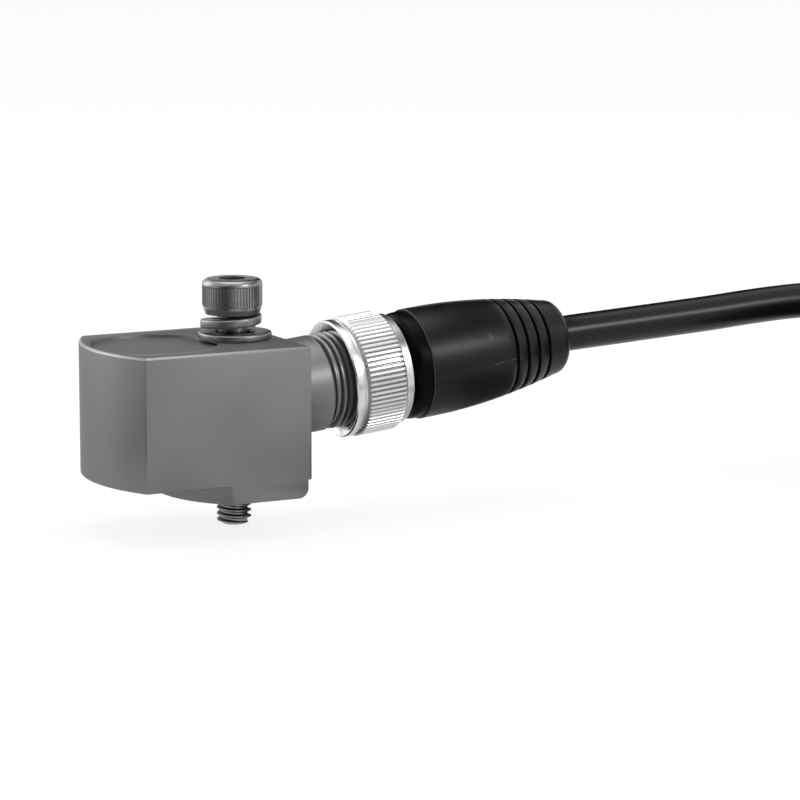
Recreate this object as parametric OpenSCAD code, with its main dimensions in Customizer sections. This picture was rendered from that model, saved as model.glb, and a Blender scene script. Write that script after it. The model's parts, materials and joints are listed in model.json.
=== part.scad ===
// Vibration sensor with a screw-on round plug and its cable.
// Frame: the mounting screw's axis is Z, the foot stands on z = 0, the plug leaves towards +X.

/* [Housing] */
// Depth of the housing between its two flat sides
housing_depth = 19.6; // [18.6:0.2:21]
// Radius of the curved end, seen from above
end_radius = 19.3; // [18.5:0.1:20.5]
// Centre of the curved end, along X from the screw
end_centre_x = 1.7; // [1.2:0.1:2.2]
// Distance of the connector face from the screw
face_x = 5.4; // [5.2:0.1:6]
// Height of the top face above the foot
housing_top = 17.5; // [17.2:0.1:18.5]
// Chamfer along the edges of the top face
edge_break = 0.25; // [0.1:0.05:0.4]

/* [Foot] */
// Height of the foot under the housing
foot_height = 2.1; // [1.5:0.1:2.5]
// Radius of the foot's rounded end
foot_radius = 13; // [12:0.2:14]
// Centre of the foot's rounded end, along X from the screw
foot_centre_x = 4; // [3.6:0.1:4.4]
// Setback of the foot from the connector face
foot_setback = 0.4; // [0.1:0.1:0.6]
// Radius of the foot's lower edge under the connector
foot_round = 1.2; // [0.8:0.1:1.5]

/* [Lid and sensing element] */
// Place of the lid's centre along X
lid_x = -9.8; // [-10:0.1:-9.7]
// Radius of the round pocket that holds the lid
lid_radius = 7.3; // [7:0.1:7.4]
// Thickness of the lid
lid_thickness = 0.8; // [0.6:0.1:1]
// Depth of the lid's face below the top face
lid_sink = 0.35; // [0.2:0.05:0.5]
// Radius of the cavity around the sensing element
cavity_radius = 5.3; // [5.2:0.1:5.5]
// Floor of the cavity
cavity_floor = 4.6; // [4.4:0.1:4.8]
// Height of the ledge that carries the circuit board
board_ledge = 13.4; // [13.2:0.1:13.8]
// Thickness of the circuit board
board_thickness = 0.8; // [0.6:0.1:1]
// Thickness of one piezo ring
piezo_thickness = 0.8; // [0.6:0.1:0.9]
// Outer radius of the piezo rings
piezo_radius = 4; // [3.6:0.1:4.3]
// Outer radius of the seismic mass
mass_radius = 4.6; // [4.2:0.1:4.8]
// Height of the seismic mass
mass_height = 3.2; // [2.8:0.1:3.3]

/* [Mounting screw] */
// Diameter of the hole through the housing
screw_hole = 4.3; // [4.2:0.05:4.4]
// Thread diameter of the screw
screw_d = 4; // [3.9:0.05:4]
// Length of the screw under its head
screw_length = 24.6; // [24.3:0.1:25.2]
// Diameter of the screw's head
head_d = 7; // [6.8:0.1:7.2]
// Height of the screw's head
head_height = 4.1; // [4:0.05:4.2]
// Width across flats of the hexagon socket
socket_width = 3; // [2.9:0.05:3.1]
// Outer diameter of the flat washer
flat_washer_d = 8.5; // [8:0.1:9]
// Thickness of the flat washer
flat_washer_t = 0.8; // [0.5:0.1:1]
// Outer diameter of the split spring washer
spring_washer_d = 7.1; // [6.8:0.1:7.4]
// Thickness of the spring washer's wire
spring_washer_t = 1; // [0.9:0.1:1.1]
// Rise of the spring washer over its turn
spring_washer_rise = 1.1; // [0.8:0.1:1.3]

/* [Sensor connector] */
// Height of the connector's axis at the connector face
connector_z = 11; // [10.9:0.1:11.1]
// Upward tilt of the connector's axis in degrees
connector_tilt = 6; // [5:0.5:6.5]
// Diameter of the smooth neck
neck_d = 11.3; // [11:0.1:11.4]
// Distance of the thread's start from the connector face
thread_start = 4.9; // [4.6:0.1:5.2]
// Root diameter of the thread on the neck
thread_root_d = 10.7; // [10.5:0.1:10.8]
// Distance of the neck's open end from the connector face
neck_end = 12.4; // [12.2:0.1:12.5]
// Radius of the socket inside the neck
socket_radius = 4.4; // [4.3:0.05:4.5]
// Radius of the circle that the four contacts stand on
contact_circle = 2.5; // [2.3:0.1:2.6]

/* [Plug] */
// Start of the coupling nut along the connector's axis
nut_start = 7.3; // [7:0.1:7.6]
// End of the coupling nut along the connector's axis
nut_end = 15; // [14.9:0.1:15.2]
// Diameter over the nut's knurl
nut_d = 14.2; // [14:0.1:14.4]
// Depth of the nut's knurl
knurl_depth = 0.28; // [0.2:0.02:0.3]
// Number of teeth round the nut
nut_teeth = 76; // [60:2:80]
// Largest diameter of the moulded grip
grip_d = 13.2; // [13:0.1:13.6]
// Diameter of the grip where its tail ends
grip_tail_d = 9.1; // [8.6:0.1:9.6]
// End of the grip along the connector's axis
grip_end = 37.5; // [37:0.1:38.5]
// Number of flex grooves round the grip's tail
flex_grooves = 4; // [3:1:4]
// Distance between the flex grooves
flex_pitch = 1.6; // [1.4:0.1:1.7]

/* [Cable] */
// Diameter of the cable
cable_d = 4.4; // [4.2:0.1:4.5]
// Middle radius of the outer fold of the stored hank
hank_fold = 17; // [16.8:0.1:17.5]
// Straight length of the stored hank between its folds
hank_straight = 54; // [52:1:58]
// Layers of cable in the hank
hank_layers = 5; // [5:1:5]
// Width of the cable tie's strap
tie_width = 3.6; // [2.5:0.1:4.8]

/* [Hidden] */

// Facets of round shapes, and of the small swept ones
round_fn = 96;
cord_sides = 10;
wire_sides = 8;
// A hair of overlap that keeps cuts clean, and the play of pressed-in pieces
eps = 0.01;
play = 0.03;
// A length past anything in the housing
far = 60;

half_depth = housing_depth / 2;
foot_right = face_x - foot_setback;
screw_tip = flat_washer_t + spring_washer_t + spring_washer_rise + housing_top - screw_length;
head_seat = screw_tip + screw_length;
shank_d = 3.5;
floor_z = screw_tip;

// Stack of the sensing element, from the cavity's floor up
insulator_t = 0.4;
electrode_t = 0.2;
piezo_hole = 1.6;
lower_piezo_z = cavity_floor + insulator_t;
electrode_z = lower_piezo_z + piezo_thickness;
upper_piezo_z = electrode_z + electrode_t;
mass_z = upper_piezo_z + piezo_thickness;
mass_top = mass_z + mass_height;
preload_d = 2;
preload_head_d = 3.8;
preload_head_h = 1.4;
preload_seat = mass_top - preload_head_h + 0.2;
preload_depth = 1.8;
board_radius = cavity_radius + 0.5;
lid_z = housing_top - lid_sink - lid_thickness;

// Bores behind the connector: the insert's stop, the wiring chamber and the two wire ducts
insert_back = -0.6;
insert_front = 4;
chamber_back = -2.7;
chamber_radius = 3.9;
duct_y = 3.4;
duct_radius = 0.8;
duct_z = 11.6;
duct_end_x = -6.6;
wire_radius = 0.4;
pin_tail = 0.4;
pin_front = 9.2;
pin_radius = 0.5;
contact_angles = [45, 135, 225, 315];
key_width = 1.2;
key_depth = 0.55;
key_end = 9;

// Plug insert and seal
nose_radius = 4.15;
nose_front = 4.4;
flange_front = neck_end + 0.5;
flange_back = flange_front + 0.6;
flange_radius = 5.6;
insert_tail_radius = 4.6;
insert_tail_end = 21;
turn_gap = 0.3;
lip_front = flange_back + turn_gap;
grip_front = nut_end + turn_gap;

// Grip outline
band_end = 17.6;
band_radius = grip_d / 2 - 0.2;
barrel_end = 20;
grip_round = 1.3;
taper_power = 1.85;
flex_first = 29.2;
flex_width = 0.4;
flex_depth = 0.4;
arrow_s = 20.7;
arrow_length = 2;
arrow_width = 2.2;
arrow_depth = 0.25;

// Cable route. The hank's near fold turns about [hank_x, -hank_fold]
cable_radius = cable_d / 2;
tie_t = 1;
hank_x = 96;
hank_bottom = floor_z + tie_t + 0.1;
hank_height = hank_layers * cable_d;
hank_inner_fold = hank_fold - cable_d;
hank_top_run = hank_bottom + hank_height - cable_radius;
hank_low_run = hank_bottom + cable_radius;
axis_dir = [cos(connector_tilt), 0, sin(connector_tilt)];
axis_start = [face_x, 0, connector_z];
cable_start = axis_start + grip_end * axis_dir;
cable_route = [
  cable_start, cable_start + 2 * axis_dir,
  [50.5, 0, 15.45], [57.5, 0, 15.85], [64.5, 0, 16.25], [70, 0, 16.65], [76, 0, 16.95], [83, 0, 17],
  [90, 0, hank_top_run + 0.1], [hank_x, 0, hank_top_run]
];
tail_z = floor_z + cable_radius;
tail_y = -hank_fold - hank_inner_fold;
tail_route = [
  [132, tail_y, hank_low_run], [127, tail_y + 0.6, hank_low_run - 0.2], [122, tail_y + 2, tail_z + 0.5],
  [117, tail_y + 4, tail_z + 0.1], [113, tail_y + 5, tail_z], [110, tail_y + 5.2, tail_z]
];
tail_end = tail_route[len(tail_route) - 1];
core_radius = 0.65;
core_z = floor_z + core_radius;
core_offset = 0.95;
core_spread = 2.5;
core_first_y = tail_y + 6.2;
core_end_x = 98;
tie_x = hank_x + hank_straight - 6;
ferrule_length = 6;

function unit(v) = v / norm(v);

// Radius of the grip along its axis, before the flex grooves
function grip_radius(s) =
  s < barrel_end ? grip_d / 2
  : let (share = (s - barrel_end) / (grip_end - grip_round - barrel_end))
    grip_d / 2 - (grip_d - grip_tail_d) / 2 * pow(share, taper_power);

// Direction of a route at one of its points
function route_dir(p, i) = unit(p[min(i + 1, len(p) - 1)] - p[max(i - 1, 0)]);

// One ring of points round a route
function ring(c, dir, r, n, ref) =
  let (u = unit(cross(ref, dir)), w = cross(dir, u))
  [for (k = [0:n - 1]) c + r * (cos(360 * k / n) * u + sin(360 * k / n) * w)];

// A closed skin over a row of like sections
module skin(rings) {
  n = len(rings[0]);
  last = len(rings) - 1;
  points = [for (section = rings) each section];
  sides = [
    for (i = [0:last - 1], k = [0:n - 1])
      let (a = i * n + k, b = i * n + (k + 1) % n)
      each [[a, a + n, b + n], [a, b + n, b]]
  ];
  start_cap = [for (k = [0:n - 1]) k];
  end_cap = [for (k = [n - 1:-1:0]) last * n + k];
  polyhedron(points, concat(sides, [start_cap], [end_cap]));
}

// A round tube swept along a route
module tube(route, r, n, ref = [0, 0, 1]) {
  skin([for (i = [0:len(route) - 1]) ring(route[i], route_dir(route, i), r, n, ref)]);
}

// Places its children on the connector's axis, with local Z along it and local -X upwards
module on_connector_axis() {
  translate(axis_start) rotate([0, 90 - connector_tilt, 0]) children();
}

module at_contacts() {
  for (angle = contact_angles) rotate(angle) translate([contact_circle, 0, 0]) children();
}

// Round bar between two stations on its local axis
module bar(from, to, r) {
  translate([0, 0, from]) cylinder(h = to - from, r = r, $fn = round_fn);
}

// Outline of a race track round the hank's two fold centres
module race_track(r) {
  for (x = [0, hank_straight]) translate([x, 0]) circle(r = r, $fn = round_fn);
  translate([0, -r]) square([hank_straight, 2 * r]);
}

// Housing: D-shaped block on a smaller foot, with the threaded neck turned from the same piece
module housing_plan() {
  intersection() {
    translate([end_centre_x, 0]) circle(r = end_radius, $fn = round_fn);
    translate([face_x - far, -half_depth]) square([far, housing_depth]);
  }
}

module foot() {
  difference() {
    linear_extrude(foot_height + eps) intersection() {
      translate([foot_centre_x, 0]) circle(r = foot_radius, $fn = round_fn);
      translate([foot_right - far, -half_depth]) square([far, housing_depth]);
    }
    translate([foot_right - foot_round, 0, foot_round]) rotate([90, 0, 0])
      linear_extrude(far, center = true) difference() {
        translate([0, -foot_round - 1]) square(foot_round + 1);
        circle(r = foot_round, $fn = round_fn);
      }
  }
}

// Wedge that takes the chamfer off an edge at distance d
module chamfer_section(d) {
  polygon([
    [d - edge_break, housing_top], [d + 1, housing_top - edge_break - 1],
    [d + 1, housing_top + 1], [d - edge_break, housing_top + 1]
  ]);
}

module top_chamfers() {
  translate([end_centre_x, 0, 0]) rotate_extrude($fn = round_fn) chamfer_section(end_radius);
  for (turn = [90, 270])
    rotate([90, 0, turn]) linear_extrude(far, center = true) chamfer_section(half_depth);
  rotate([90, 0, 0]) linear_extrude(far, center = true) chamfer_section(face_x);
}

module neck() {
  relief = 0.35;
  lead_in = 0.5;
  neck_r = neck_d / 2;
  root_r = thread_root_d / 2;
  rotate_extrude($fn = round_fn) polygon([
    [0, chamber_back - 0.3], [neck_r, chamber_back - 0.3], [neck_r, thread_start - relief],
    [root_r, thread_start - relief + 0.15],
    [root_r, neck_end - lead_in], [root_r - lead_in, neck_end], [0, neck_end]
  ]);
}

module housing() {
  color("#75767a") difference() {
    union() {
      difference() {
        translate([0, 0, foot_height]) linear_extrude(housing_top - foot_height) housing_plan();
        top_chamfers();
      }
      foot();
      on_connector_axis() neck();
    }
    translate([0, 0, -1]) cylinder(h = far, d = screw_hole, $fn = round_fn);
    translate([lid_x, 0, 0]) {
      bar(cavity_floor, far, cavity_radius);
      bar(board_ledge, far, board_radius + play);
      bar(lid_z, far, lid_radius);
      bar(cavity_floor - preload_depth - 0.2, far, preload_d / 2 + play);
    }
    on_connector_axis() {
      bar(chamber_back, far, chamber_radius);
      bar(insert_back, far, socket_radius);
    }
    for (side = [-1, 1])
      translate([duct_end_x, side * duct_y, duct_z]) rotate([0, 90, 0])
        cylinder(h = face_x - 2 - duct_end_x, r = duct_radius, $fn = round_fn);
  }
}

module lid() {
  color("#7b7c80") translate([lid_x, 0, 0]) bar(lid_z, lid_z + lid_thickness, lid_radius - play);
}

// Sensing element: piezo rings clamped under a mass by a screw into the housing
module ring_plate(z, thickness, outer, inner) {
  difference() {
    bar(z, z + thickness, outer);
    bar(z - 1, z + thickness + 1, inner);
  }
}

module insulating_washer() {
  color("ivory") translate([lid_x, 0, 0])
    ring_plate(cavity_floor, insulator_t, piezo_radius + 0.3, piezo_hole - 0.2);
}

module piezo_rings() {
  color("tan") translate([lid_x, 0, 0])
    for (z = [lower_piezo_z, upper_piezo_z]) ring_plate(z, piezo_thickness, piezo_radius, piezo_hole);
}

module electrode() {
  tab = 0.8;
  color("goldenrod") translate([lid_x, 0, 0]) difference() {
    union() {
      bar(electrode_z, electrode_z + electrode_t, piezo_radius);
      translate([0, -tab, electrode_z]) cube([mass_radius + 0.3, 2 * tab, electrode_t]);
    }
    bar(electrode_z - 1, electrode_z + 1, piezo_hole);
  }
}

module seismic_mass() {
  color("dimgray") translate([lid_x, 0, 0]) difference() {
    bar(mass_z, mass_top, mass_radius);
    bar(mass_z - 1, mass_top + 1, piezo_hole - 0.4);
    bar(preload_seat, mass_top + 1, preload_head_d / 2 + 0.2);
  }
}

module preload_screw() {
  slot = 0.5;
  color("silver") translate([lid_x, 0, 0]) difference() {
    union() {
      bar(cavity_floor - preload_depth, preload_seat + eps, preload_d / 2);
      bar(preload_seat, preload_seat + preload_head_h, preload_head_d / 2);
    }
    translate([-preload_head_d, -slot / 2, preload_seat + preload_head_h - slot])
      cube([2 * preload_head_d, slot, slot + 1]);
  }
}

// Amplifier board on the cavity's ledge, with its parts and the two wires to the connector
module circuit_board() {
  wire_hole = wire_radius + 0.1;
  color("darkgreen") translate([lid_x, 0, 0]) difference() {
    bar(board_ledge, board_ledge + board_thickness, board_radius);
    for (side = [-1, 1])
      translate([2.2, side * duct_y, 0]) bar(board_ledge - 1, board_ledge + 2, wire_hole);
  }
}

module board_components() {
  places = [[-3.9, -1.9], [-0.2, 0.5], [-0.2, -1.7], [2.3, -1]];
  sizes = [[3, 3.8, 0.9], [1.6, 0.9, 0.5], [1.6, 0.9, 0.5], [1.2, 2, 0.7]];
  color("#222222") translate([lid_x, 0, board_ledge + board_thickness])
    for (i = [0:len(places) - 1]) translate(places[i]) cube(sizes[i]);
}

module lead_wires() {
  reach = contact_circle * sin(contact_angles[0]);
  up = [-sin(connector_tilt), 0, cos(connector_tilt)];
  pin_end = axis_start + (insert_back - pin_tail) * axis_dir + reach * up;
  for (side = [-1, 1]) color(side < 0 ? "firebrick" : "white")
    tube([
      pin_end + [0, side * reach, 0], [3.6, side * 2.1, 12.45],
      [3.3, side * 2.7, 12.1], [3, side * 3.2, 11.75],
      [2.4, side * duct_y, duct_z], [-3, side * duct_y, duct_z], [-5.8, side * duct_y, duct_z],
      [-7, side * duct_y, duct_z + 0.4], [-7.5, side * duct_y, duct_z + 1.2],
      [-7.6, side * duct_y, board_ledge + board_thickness]
    ], wire_radius, wire_sides, [0, 1, 0]);
}

// Sensor side of the connector: insulating insert with four pins and its coding key
module receptacle_insert() {
  color("#1c1c1e") on_connector_axis() {
    difference() {
      bar(insert_back, insert_front, socket_radius - play);
      at_contacts() bar(insert_back - 1, insert_front + 1, pin_radius + play);
    }
    translate([-(socket_radius - play - 0.05), -key_width / 2, insert_front - eps])
      cube([key_depth, key_width, key_end - insert_front]);
  }
}

module receptacle_pins() {
  tip = 0.35;
  color("gold") on_connector_axis() at_contacts() rotate_extrude($fn = 32) polygon([
    [0, insert_back - pin_tail], [pin_radius, insert_back - pin_tail], [pin_radius, pin_front - tip],
    [pin_radius - tip, pin_front], [0, pin_front]
  ]);
}

// Socket head screw: knurled head with rounded rim, reduced shank, full thread below the foot
module mounting_screw() {
  rim = 0.6;
  rim_steps = 5;
  skirt = 0.45;
  tip = 0.5;
  head_r = head_d / 2;
  top = head_seat + head_height;
  rim_arc = [
    for (i = [0:rim_steps]) let (a = 90 * i / rim_steps)
      [head_r - rim + rim * cos(a), top - rim + rim * sin(a)]
  ];
  color("#55565a") difference() {
    rotate_extrude($fn = round_fn) polygon(concat(
      [[0, screw_tip], [screw_d / 2 - tip, screw_tip], [screw_d / 2, screw_tip + tip], [screw_d / 2, 0],
       [shank_d / 2, 0.3], [shank_d / 2, head_seat], [head_r - skirt, head_seat], [head_r, head_seat + 0.7]],
      rim_arc, [[0, top]]
    ));
    translate([0, 0, top - 2]) cylinder(h = 3, d = socket_width / cos(30), $fn = 6);
  }
}

// Split spring washer: one turn of square wire that climbs to its upper end
module spring_washer() {
  steps = 60;
  first = 12;
  turn = 336;
  inner = 2.1;
  outer = spring_washer_d / 2;
  bottom = housing_top + flat_washer_t + 0.02;
  climb = spring_washer_rise - 0.04;
  function section(a, z) =
    let (d = [cos(a), sin(a), 0], up = [0, 0, spring_washer_t], o = [-0.2, 0, z])
    [o + inner * d + up, o + outer * d + up, o + outer * d, o + inner * d];
  color("#66676b") skin([for (i = [0:steps]) section(first + turn * i / steps, bottom + climb * i / steps)]);
}

module flat_washer() {
  rim = 0.15;
  outer = flat_washer_d / 2;
  inner = 2.2;
  color("#77787c") translate([0.3, 0, housing_top]) rotate_extrude($fn = round_fn) polygon([
    [inner, 0], [outer, 0], [outer, flat_washer_t - rim], [outer - rim, flat_washer_t], [inner, flat_washer_t]
  ]);
}

// Coupling nut: straight knurl between two plain collars, with an inner lip that pulls on the plug's flange
module knurl_plan() {
  crest = nut_d / 2;
  step = 360 / nut_teeth;
  polygon([
    for (i = [0:nut_teeth - 1])
      let (valley = (i + 0.25) * step, tip = (i + 0.75) * step)
      each [(crest - knurl_depth) * [cos(valley), sin(valley)], crest * [cos(tip), sin(tip)]]
  ]);
}

module coupling_nut() {
  collar_r = 6.95;
  back_collar_r = 6.55;
  groove_r = 6.5;
  collar_end = nut_start + 1;
  knurl_start = nut_start + 1.5;
  knurl_end = nut_end - 1.5;
  thread_bore = 5.8;
  mouth_r = 6.7;
  mouth_depth = 0.9;
  lip_bore = insert_tail_radius + turn_gap;
  edge = 0.15;
  slope = 0.35;
  root = nut_d / 2 - knurl_depth;
  color("#c9c9cc") on_connector_axis() {
    rotate_extrude($fn = round_fn) polygon([
      [thread_bore, nut_start + mouth_depth], [mouth_r, nut_start],
      [collar_r - edge, nut_start], [collar_r, nut_start + edge],
      [collar_r, collar_end], [groove_r, collar_end + 0.15], [groove_r, knurl_end],
      [root - 0.1, knurl_end], [back_collar_r, knurl_end + slope], [back_collar_r, nut_end - edge],
      [back_collar_r - edge, nut_end], [lip_bore, nut_end], [lip_bore, lip_front], [thread_bore, lip_front]
    ]);
    difference() {
      translate([0, 0, knurl_start]) linear_extrude(knurl_end - knurl_start + 0.05) knurl_plan();
      bar(knurl_start - 1, knurl_end + 1, groove_r - 0.1);
    }
  }
}

// Plug side of the connector: insert with four sockets, moulded into the grip at its back
module plug_insert() {
  color("#1c1c1e") on_connector_axis() difference() {
    union() {
      bar(nose_front, flange_front + eps, nose_radius);
      bar(flange_front, flange_back, flange_radius);
      bar(flange_back - eps, insert_tail_end, insert_tail_radius);
    }
    at_contacts() bar(nose_front - 1, neck_end + 0.2, 0.77);
    translate([-nose_radius - 1, -key_width / 2 - 0.1, nose_front - 1])
      cube([1.1 + key_depth, key_width + 0.2, key_end - nose_front + 1.3]);
  }
}

module plug_sockets() {
  color("gold") on_connector_axis() at_contacts() difference() {
    bar(nose_front + 0.2, neck_end, 0.75);
    bar(nose_front, neck_end - 1, pin_radius + 0.04);
  }
}

module plug_seal() {
  color("#b5382a") on_connector_axis() difference() {
    bar(neck_end, flange_front, 5.2);
    bar(neck_end - 1, flange_front + 1, 4.25);
  }
}

// Moulded grip: rounded front band, barrel and a tail that thins over the flex grooves to a rounded end
module plug_grip() {
  arc_steps = 6;
  barrel_steps = 12;
  barrel_first = band_end + 0.1;
  tail_s = grip_end - grip_round;
  tail_r = grip_radius(tail_s);
  front_arc = [
    for (i = [0:arc_steps]) let (a = 90 * i / arc_steps)
      [band_radius - grip_round + grip_round * sin(a), grip_front + grip_round - grip_round * cos(a)]
  ];
  barrel = [
    for (i = [0:barrel_steps]) let (s = barrel_first + (tail_s - barrel_first) * i / barrel_steps)
      [grip_radius(s), s]
  ];
  end_arc = [
    for (i = [1:arc_steps]) let (a = 90 * i / arc_steps)
      [tail_r - grip_round + grip_round * cos(a), tail_s + grip_round * sin(a)]
  ];
  color("#202022") on_connector_axis() difference() {
    rotate_extrude($fn = round_fn) polygon(concat(
      [[0, grip_front]], front_arc, [[band_radius, band_end]], barrel, end_arc, [[0, grip_end]]
    ));
    for (i = [0:flex_grooves - 1])
      let (s = flex_first + i * flex_pitch, r = grip_radius(s))
      rotate_extrude($fn = round_fn) translate([r - flex_depth, s - flex_width / 2]) square([2, flex_width]);
    bar(grip_front - 1, insert_tail_end + play, insert_tail_radius + play);
    translate([-grip_d / 2 + arrow_depth, 0, arrow_s]) rotate([0, -90, 0]) linear_extrude(2)
      polygon([[0, 0], [arrow_length, arrow_width / 2], [arrow_length, -arrow_width / 2]]);
  }
}

// Cable: straight out of the grip, then the spare length folded into a hank in line with the plug
module cable() {
  color("#1d1d1f") tube(cable_route, cable_radius, cord_sides);
}

module cable_hank() {
  color("#1d1d1f") translate([hank_x, -hank_fold, hank_bottom]) linear_extrude(hank_height) difference() {
    race_track(hank_fold + cable_radius);
    race_track(hank_inner_fold - cable_radius);
  }
}

module cable_tail() {
  color("#1d1d1f") tube(tail_route, cable_radius, cord_sides);
}

// Strap round the run of the hank that lies away from the plug, with its ratchet head on top
module cable_tie() {
  slack = 0.1;
  bundle_w = 2 * cable_d + 2 * slack;
  bundle_h = hank_height + 2 * slack;
  bundle_y = -2 * hank_fold - cable_radius - slack;
  head = [4.8, 5.4, 3.2];
  color("#2a2a2c") translate([tie_x, bundle_y, hank_bottom - slack]) {
    difference() {
      translate([-tie_width / 2, -tie_t, -tie_t])
        cube([tie_width, bundle_w + 2 * tie_t, bundle_h + 2 * tie_t]);
      translate([-tie_width, 0, 0]) cube([2 * tie_width, bundle_w, bundle_h]);
    }
    translate([-head[0] / 2, (bundle_w - head[1]) / 2, bundle_h + tie_t - eps]) cube(head);
  }
}

// Four cores fanned out of the cable's bare end, each crimped into a ferrule
module core(i) {
  upper = i == 0 || i == 3;
  start = tail_end + core_offset * [0, i < 2 ? -1 : 1, upper ? 1 : -1];
  end = [core_end_x, core_first_y + i * core_spread, core_z];
  fan = [0, 0.2, 0.5, 0.8, 1];
  drop = upper ? [0, 0, 0.5, 1, 1] : [0, 0.5, 1, 1, 1];
  last = len(fan) - 1;
  function share(k) = [k / last, fan[k], drop[k]];
  route = [for (k = [0:last]) [for (j = [0:2]) start[j] + (end[j] - start[j]) * share(k)[j]]];
  tube(route, core_radius, wire_sides);
}

module core_brown() {
  color("saddlebrown") core(0);
}

module core_white() {
  color("white") core(1);
}

module core_blue() {
  color("royalblue") core(2);
}

module core_black() {
  color("#111111") core(3);
}

module ferrules() {
  sleeve_r = 0.45;
  color("silver") for (i = [0:3])
    translate([core_end_x, core_first_y + i * core_spread, core_z])
      rotate([0, -90, 0]) bar(0, ferrule_length, sleeve_r);
}

housing();
lid();
insulating_washer();
piezo_rings();
electrode();
seismic_mass();
preload_screw();
circuit_board();
board_components();
lead_wires();
receptacle_insert();
receptacle_pins();
mounting_screw();
spring_washer();
flat_washer();
coupling_nut();
plug_insert();
plug_sockets();
plug_seal();
plug_grip();
cable();
cable_hank();
cable_tail();
cable_tie();
core_brown();
core_white();
core_blue();
core_black();
ferrules();
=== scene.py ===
import json
import math

import bmesh
import bpy
from bpy.props import FloatProperty, FloatVectorProperty, IntProperty, PointerProperty
from mathutils import Matrix, Vector


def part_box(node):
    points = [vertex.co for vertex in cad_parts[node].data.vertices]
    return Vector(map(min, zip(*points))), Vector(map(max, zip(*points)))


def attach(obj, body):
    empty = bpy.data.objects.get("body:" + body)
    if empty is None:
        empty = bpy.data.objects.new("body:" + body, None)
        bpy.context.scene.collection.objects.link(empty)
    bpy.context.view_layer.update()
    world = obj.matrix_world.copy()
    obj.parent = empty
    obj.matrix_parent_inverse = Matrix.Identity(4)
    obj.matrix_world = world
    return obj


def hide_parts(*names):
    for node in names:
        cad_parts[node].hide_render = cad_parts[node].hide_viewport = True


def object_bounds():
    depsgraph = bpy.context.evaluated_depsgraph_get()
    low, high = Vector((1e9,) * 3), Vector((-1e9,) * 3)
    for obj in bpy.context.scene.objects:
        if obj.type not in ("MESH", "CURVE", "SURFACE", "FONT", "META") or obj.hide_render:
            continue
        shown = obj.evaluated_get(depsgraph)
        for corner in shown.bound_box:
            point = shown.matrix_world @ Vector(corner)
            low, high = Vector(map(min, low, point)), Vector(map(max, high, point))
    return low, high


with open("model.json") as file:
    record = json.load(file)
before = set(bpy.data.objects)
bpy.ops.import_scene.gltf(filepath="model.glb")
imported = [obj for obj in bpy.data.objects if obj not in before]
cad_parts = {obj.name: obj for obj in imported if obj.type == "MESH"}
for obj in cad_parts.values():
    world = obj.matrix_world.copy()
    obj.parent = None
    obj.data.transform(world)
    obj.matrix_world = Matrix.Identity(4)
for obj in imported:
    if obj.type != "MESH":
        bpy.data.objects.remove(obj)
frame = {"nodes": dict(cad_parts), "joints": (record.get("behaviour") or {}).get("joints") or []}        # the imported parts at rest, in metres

bl_info = {
    "name": "Vibration Sensor",
    "version": (1, 0, 0),
    "blender": (4, 5, 0),
    "location": "3D View > Sidebar > Vibration Sensor",
    "description": "Dresses a screw-down vibration sensor, its round plug and its cable",
    "category": "Object",
}

CAD_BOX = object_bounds()
MM = 0.001
SENSOR = "sensor"
NUT = "nut"

# The connector's axis is the nut's hinge: local Z runs along it and local -X points up.
NUT_JOINT = frame["joints"][0]
AXIS_START = Vector(NUT_JOINT["pos_m"])
AXIS_DIR = Vector(NUT_JOINT["axis"]).normalized()
AXIS_TILT = math.asin(AXIS_DIR.z)
CONNECTOR = Matrix.Translation(AXIS_START) @ Matrix.Rotation(math.pi / 2 - AXIS_TILT, 4, "Y")

# The lowest point of the part is the surface that the cable lies on.
FLOOR_Z = CAD_BOX[0][2]


def linear(hex_colour):
    """An sRGB hex value as linear RGB with alpha."""
    parts = [int(hex_colour[i:i + 2], 16) / 255 for i in (1, 3, 5)]
    return [c / 12.92 if c <= 0.04045 else ((c + 0.055) / 1.055) ** 2.4 for c in parts] + [1.0]


def colour_property(name, description, hex_colour):
    return FloatVectorProperty(
        name=name, description=description, subtype="COLOR", size=4, min=0, max=1, default=linear(hex_colour))


def length_property(name, description, millimetres):
    return FloatProperty(
        name=name, description=description, unit="LENGTH", precision=5, min=0, default=millimetres * MM)


class HousingSettings(bpy.types.PropertyGroup):
    """Sizes and colours of the housing and its lid"""
    depth: length_property("Depth", "Between the two flat sides", 19.6)
    height: length_property("Height", "Top face above the foot's underside", 17.5)
    end_radius: length_property("End radius", "Radius of the curved end, seen from above", 19.3)
    end_centre: length_property("End centre", "Centre of the curved end, from the screw", 1.7)
    face: length_property("Connector face", "Distance of the connector face from the screw", 5.4)
    edge: length_property("Edge", "Chamfer round the top face", 0.25)
    foot_height: length_property("Foot height", "Height of the foot under the block", 2.1)
    colour: colour_property("Metal", "Grey of the blasted metal", "#7c7c7d")
    edge_colour: colour_property("Cut edge", "Bright metal of the chamfer", "#8c8d8e")


class ScrewSettings(bpy.types.PropertyGroup):
    """Sizes and colours of the mounting screw and its washers"""
    head: length_property("Head", "Diameter of the screw's head", 7.0)
    thread: length_property("Thread", "Diameter of the screw's thread", 4.0)
    pitch: length_property("Pitch", "Rise of the thread in one turn", 0.7)
    teeth: IntProperty(name="Teeth", description="Teeth of the head's knurl", min=12, default=56)
    colour: colour_property("Steel", "Stainless steel of the screw", "#919191")
    washer_colour: colour_property("Washers", "Steel of the two washers", "#8c8c8c")


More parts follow.
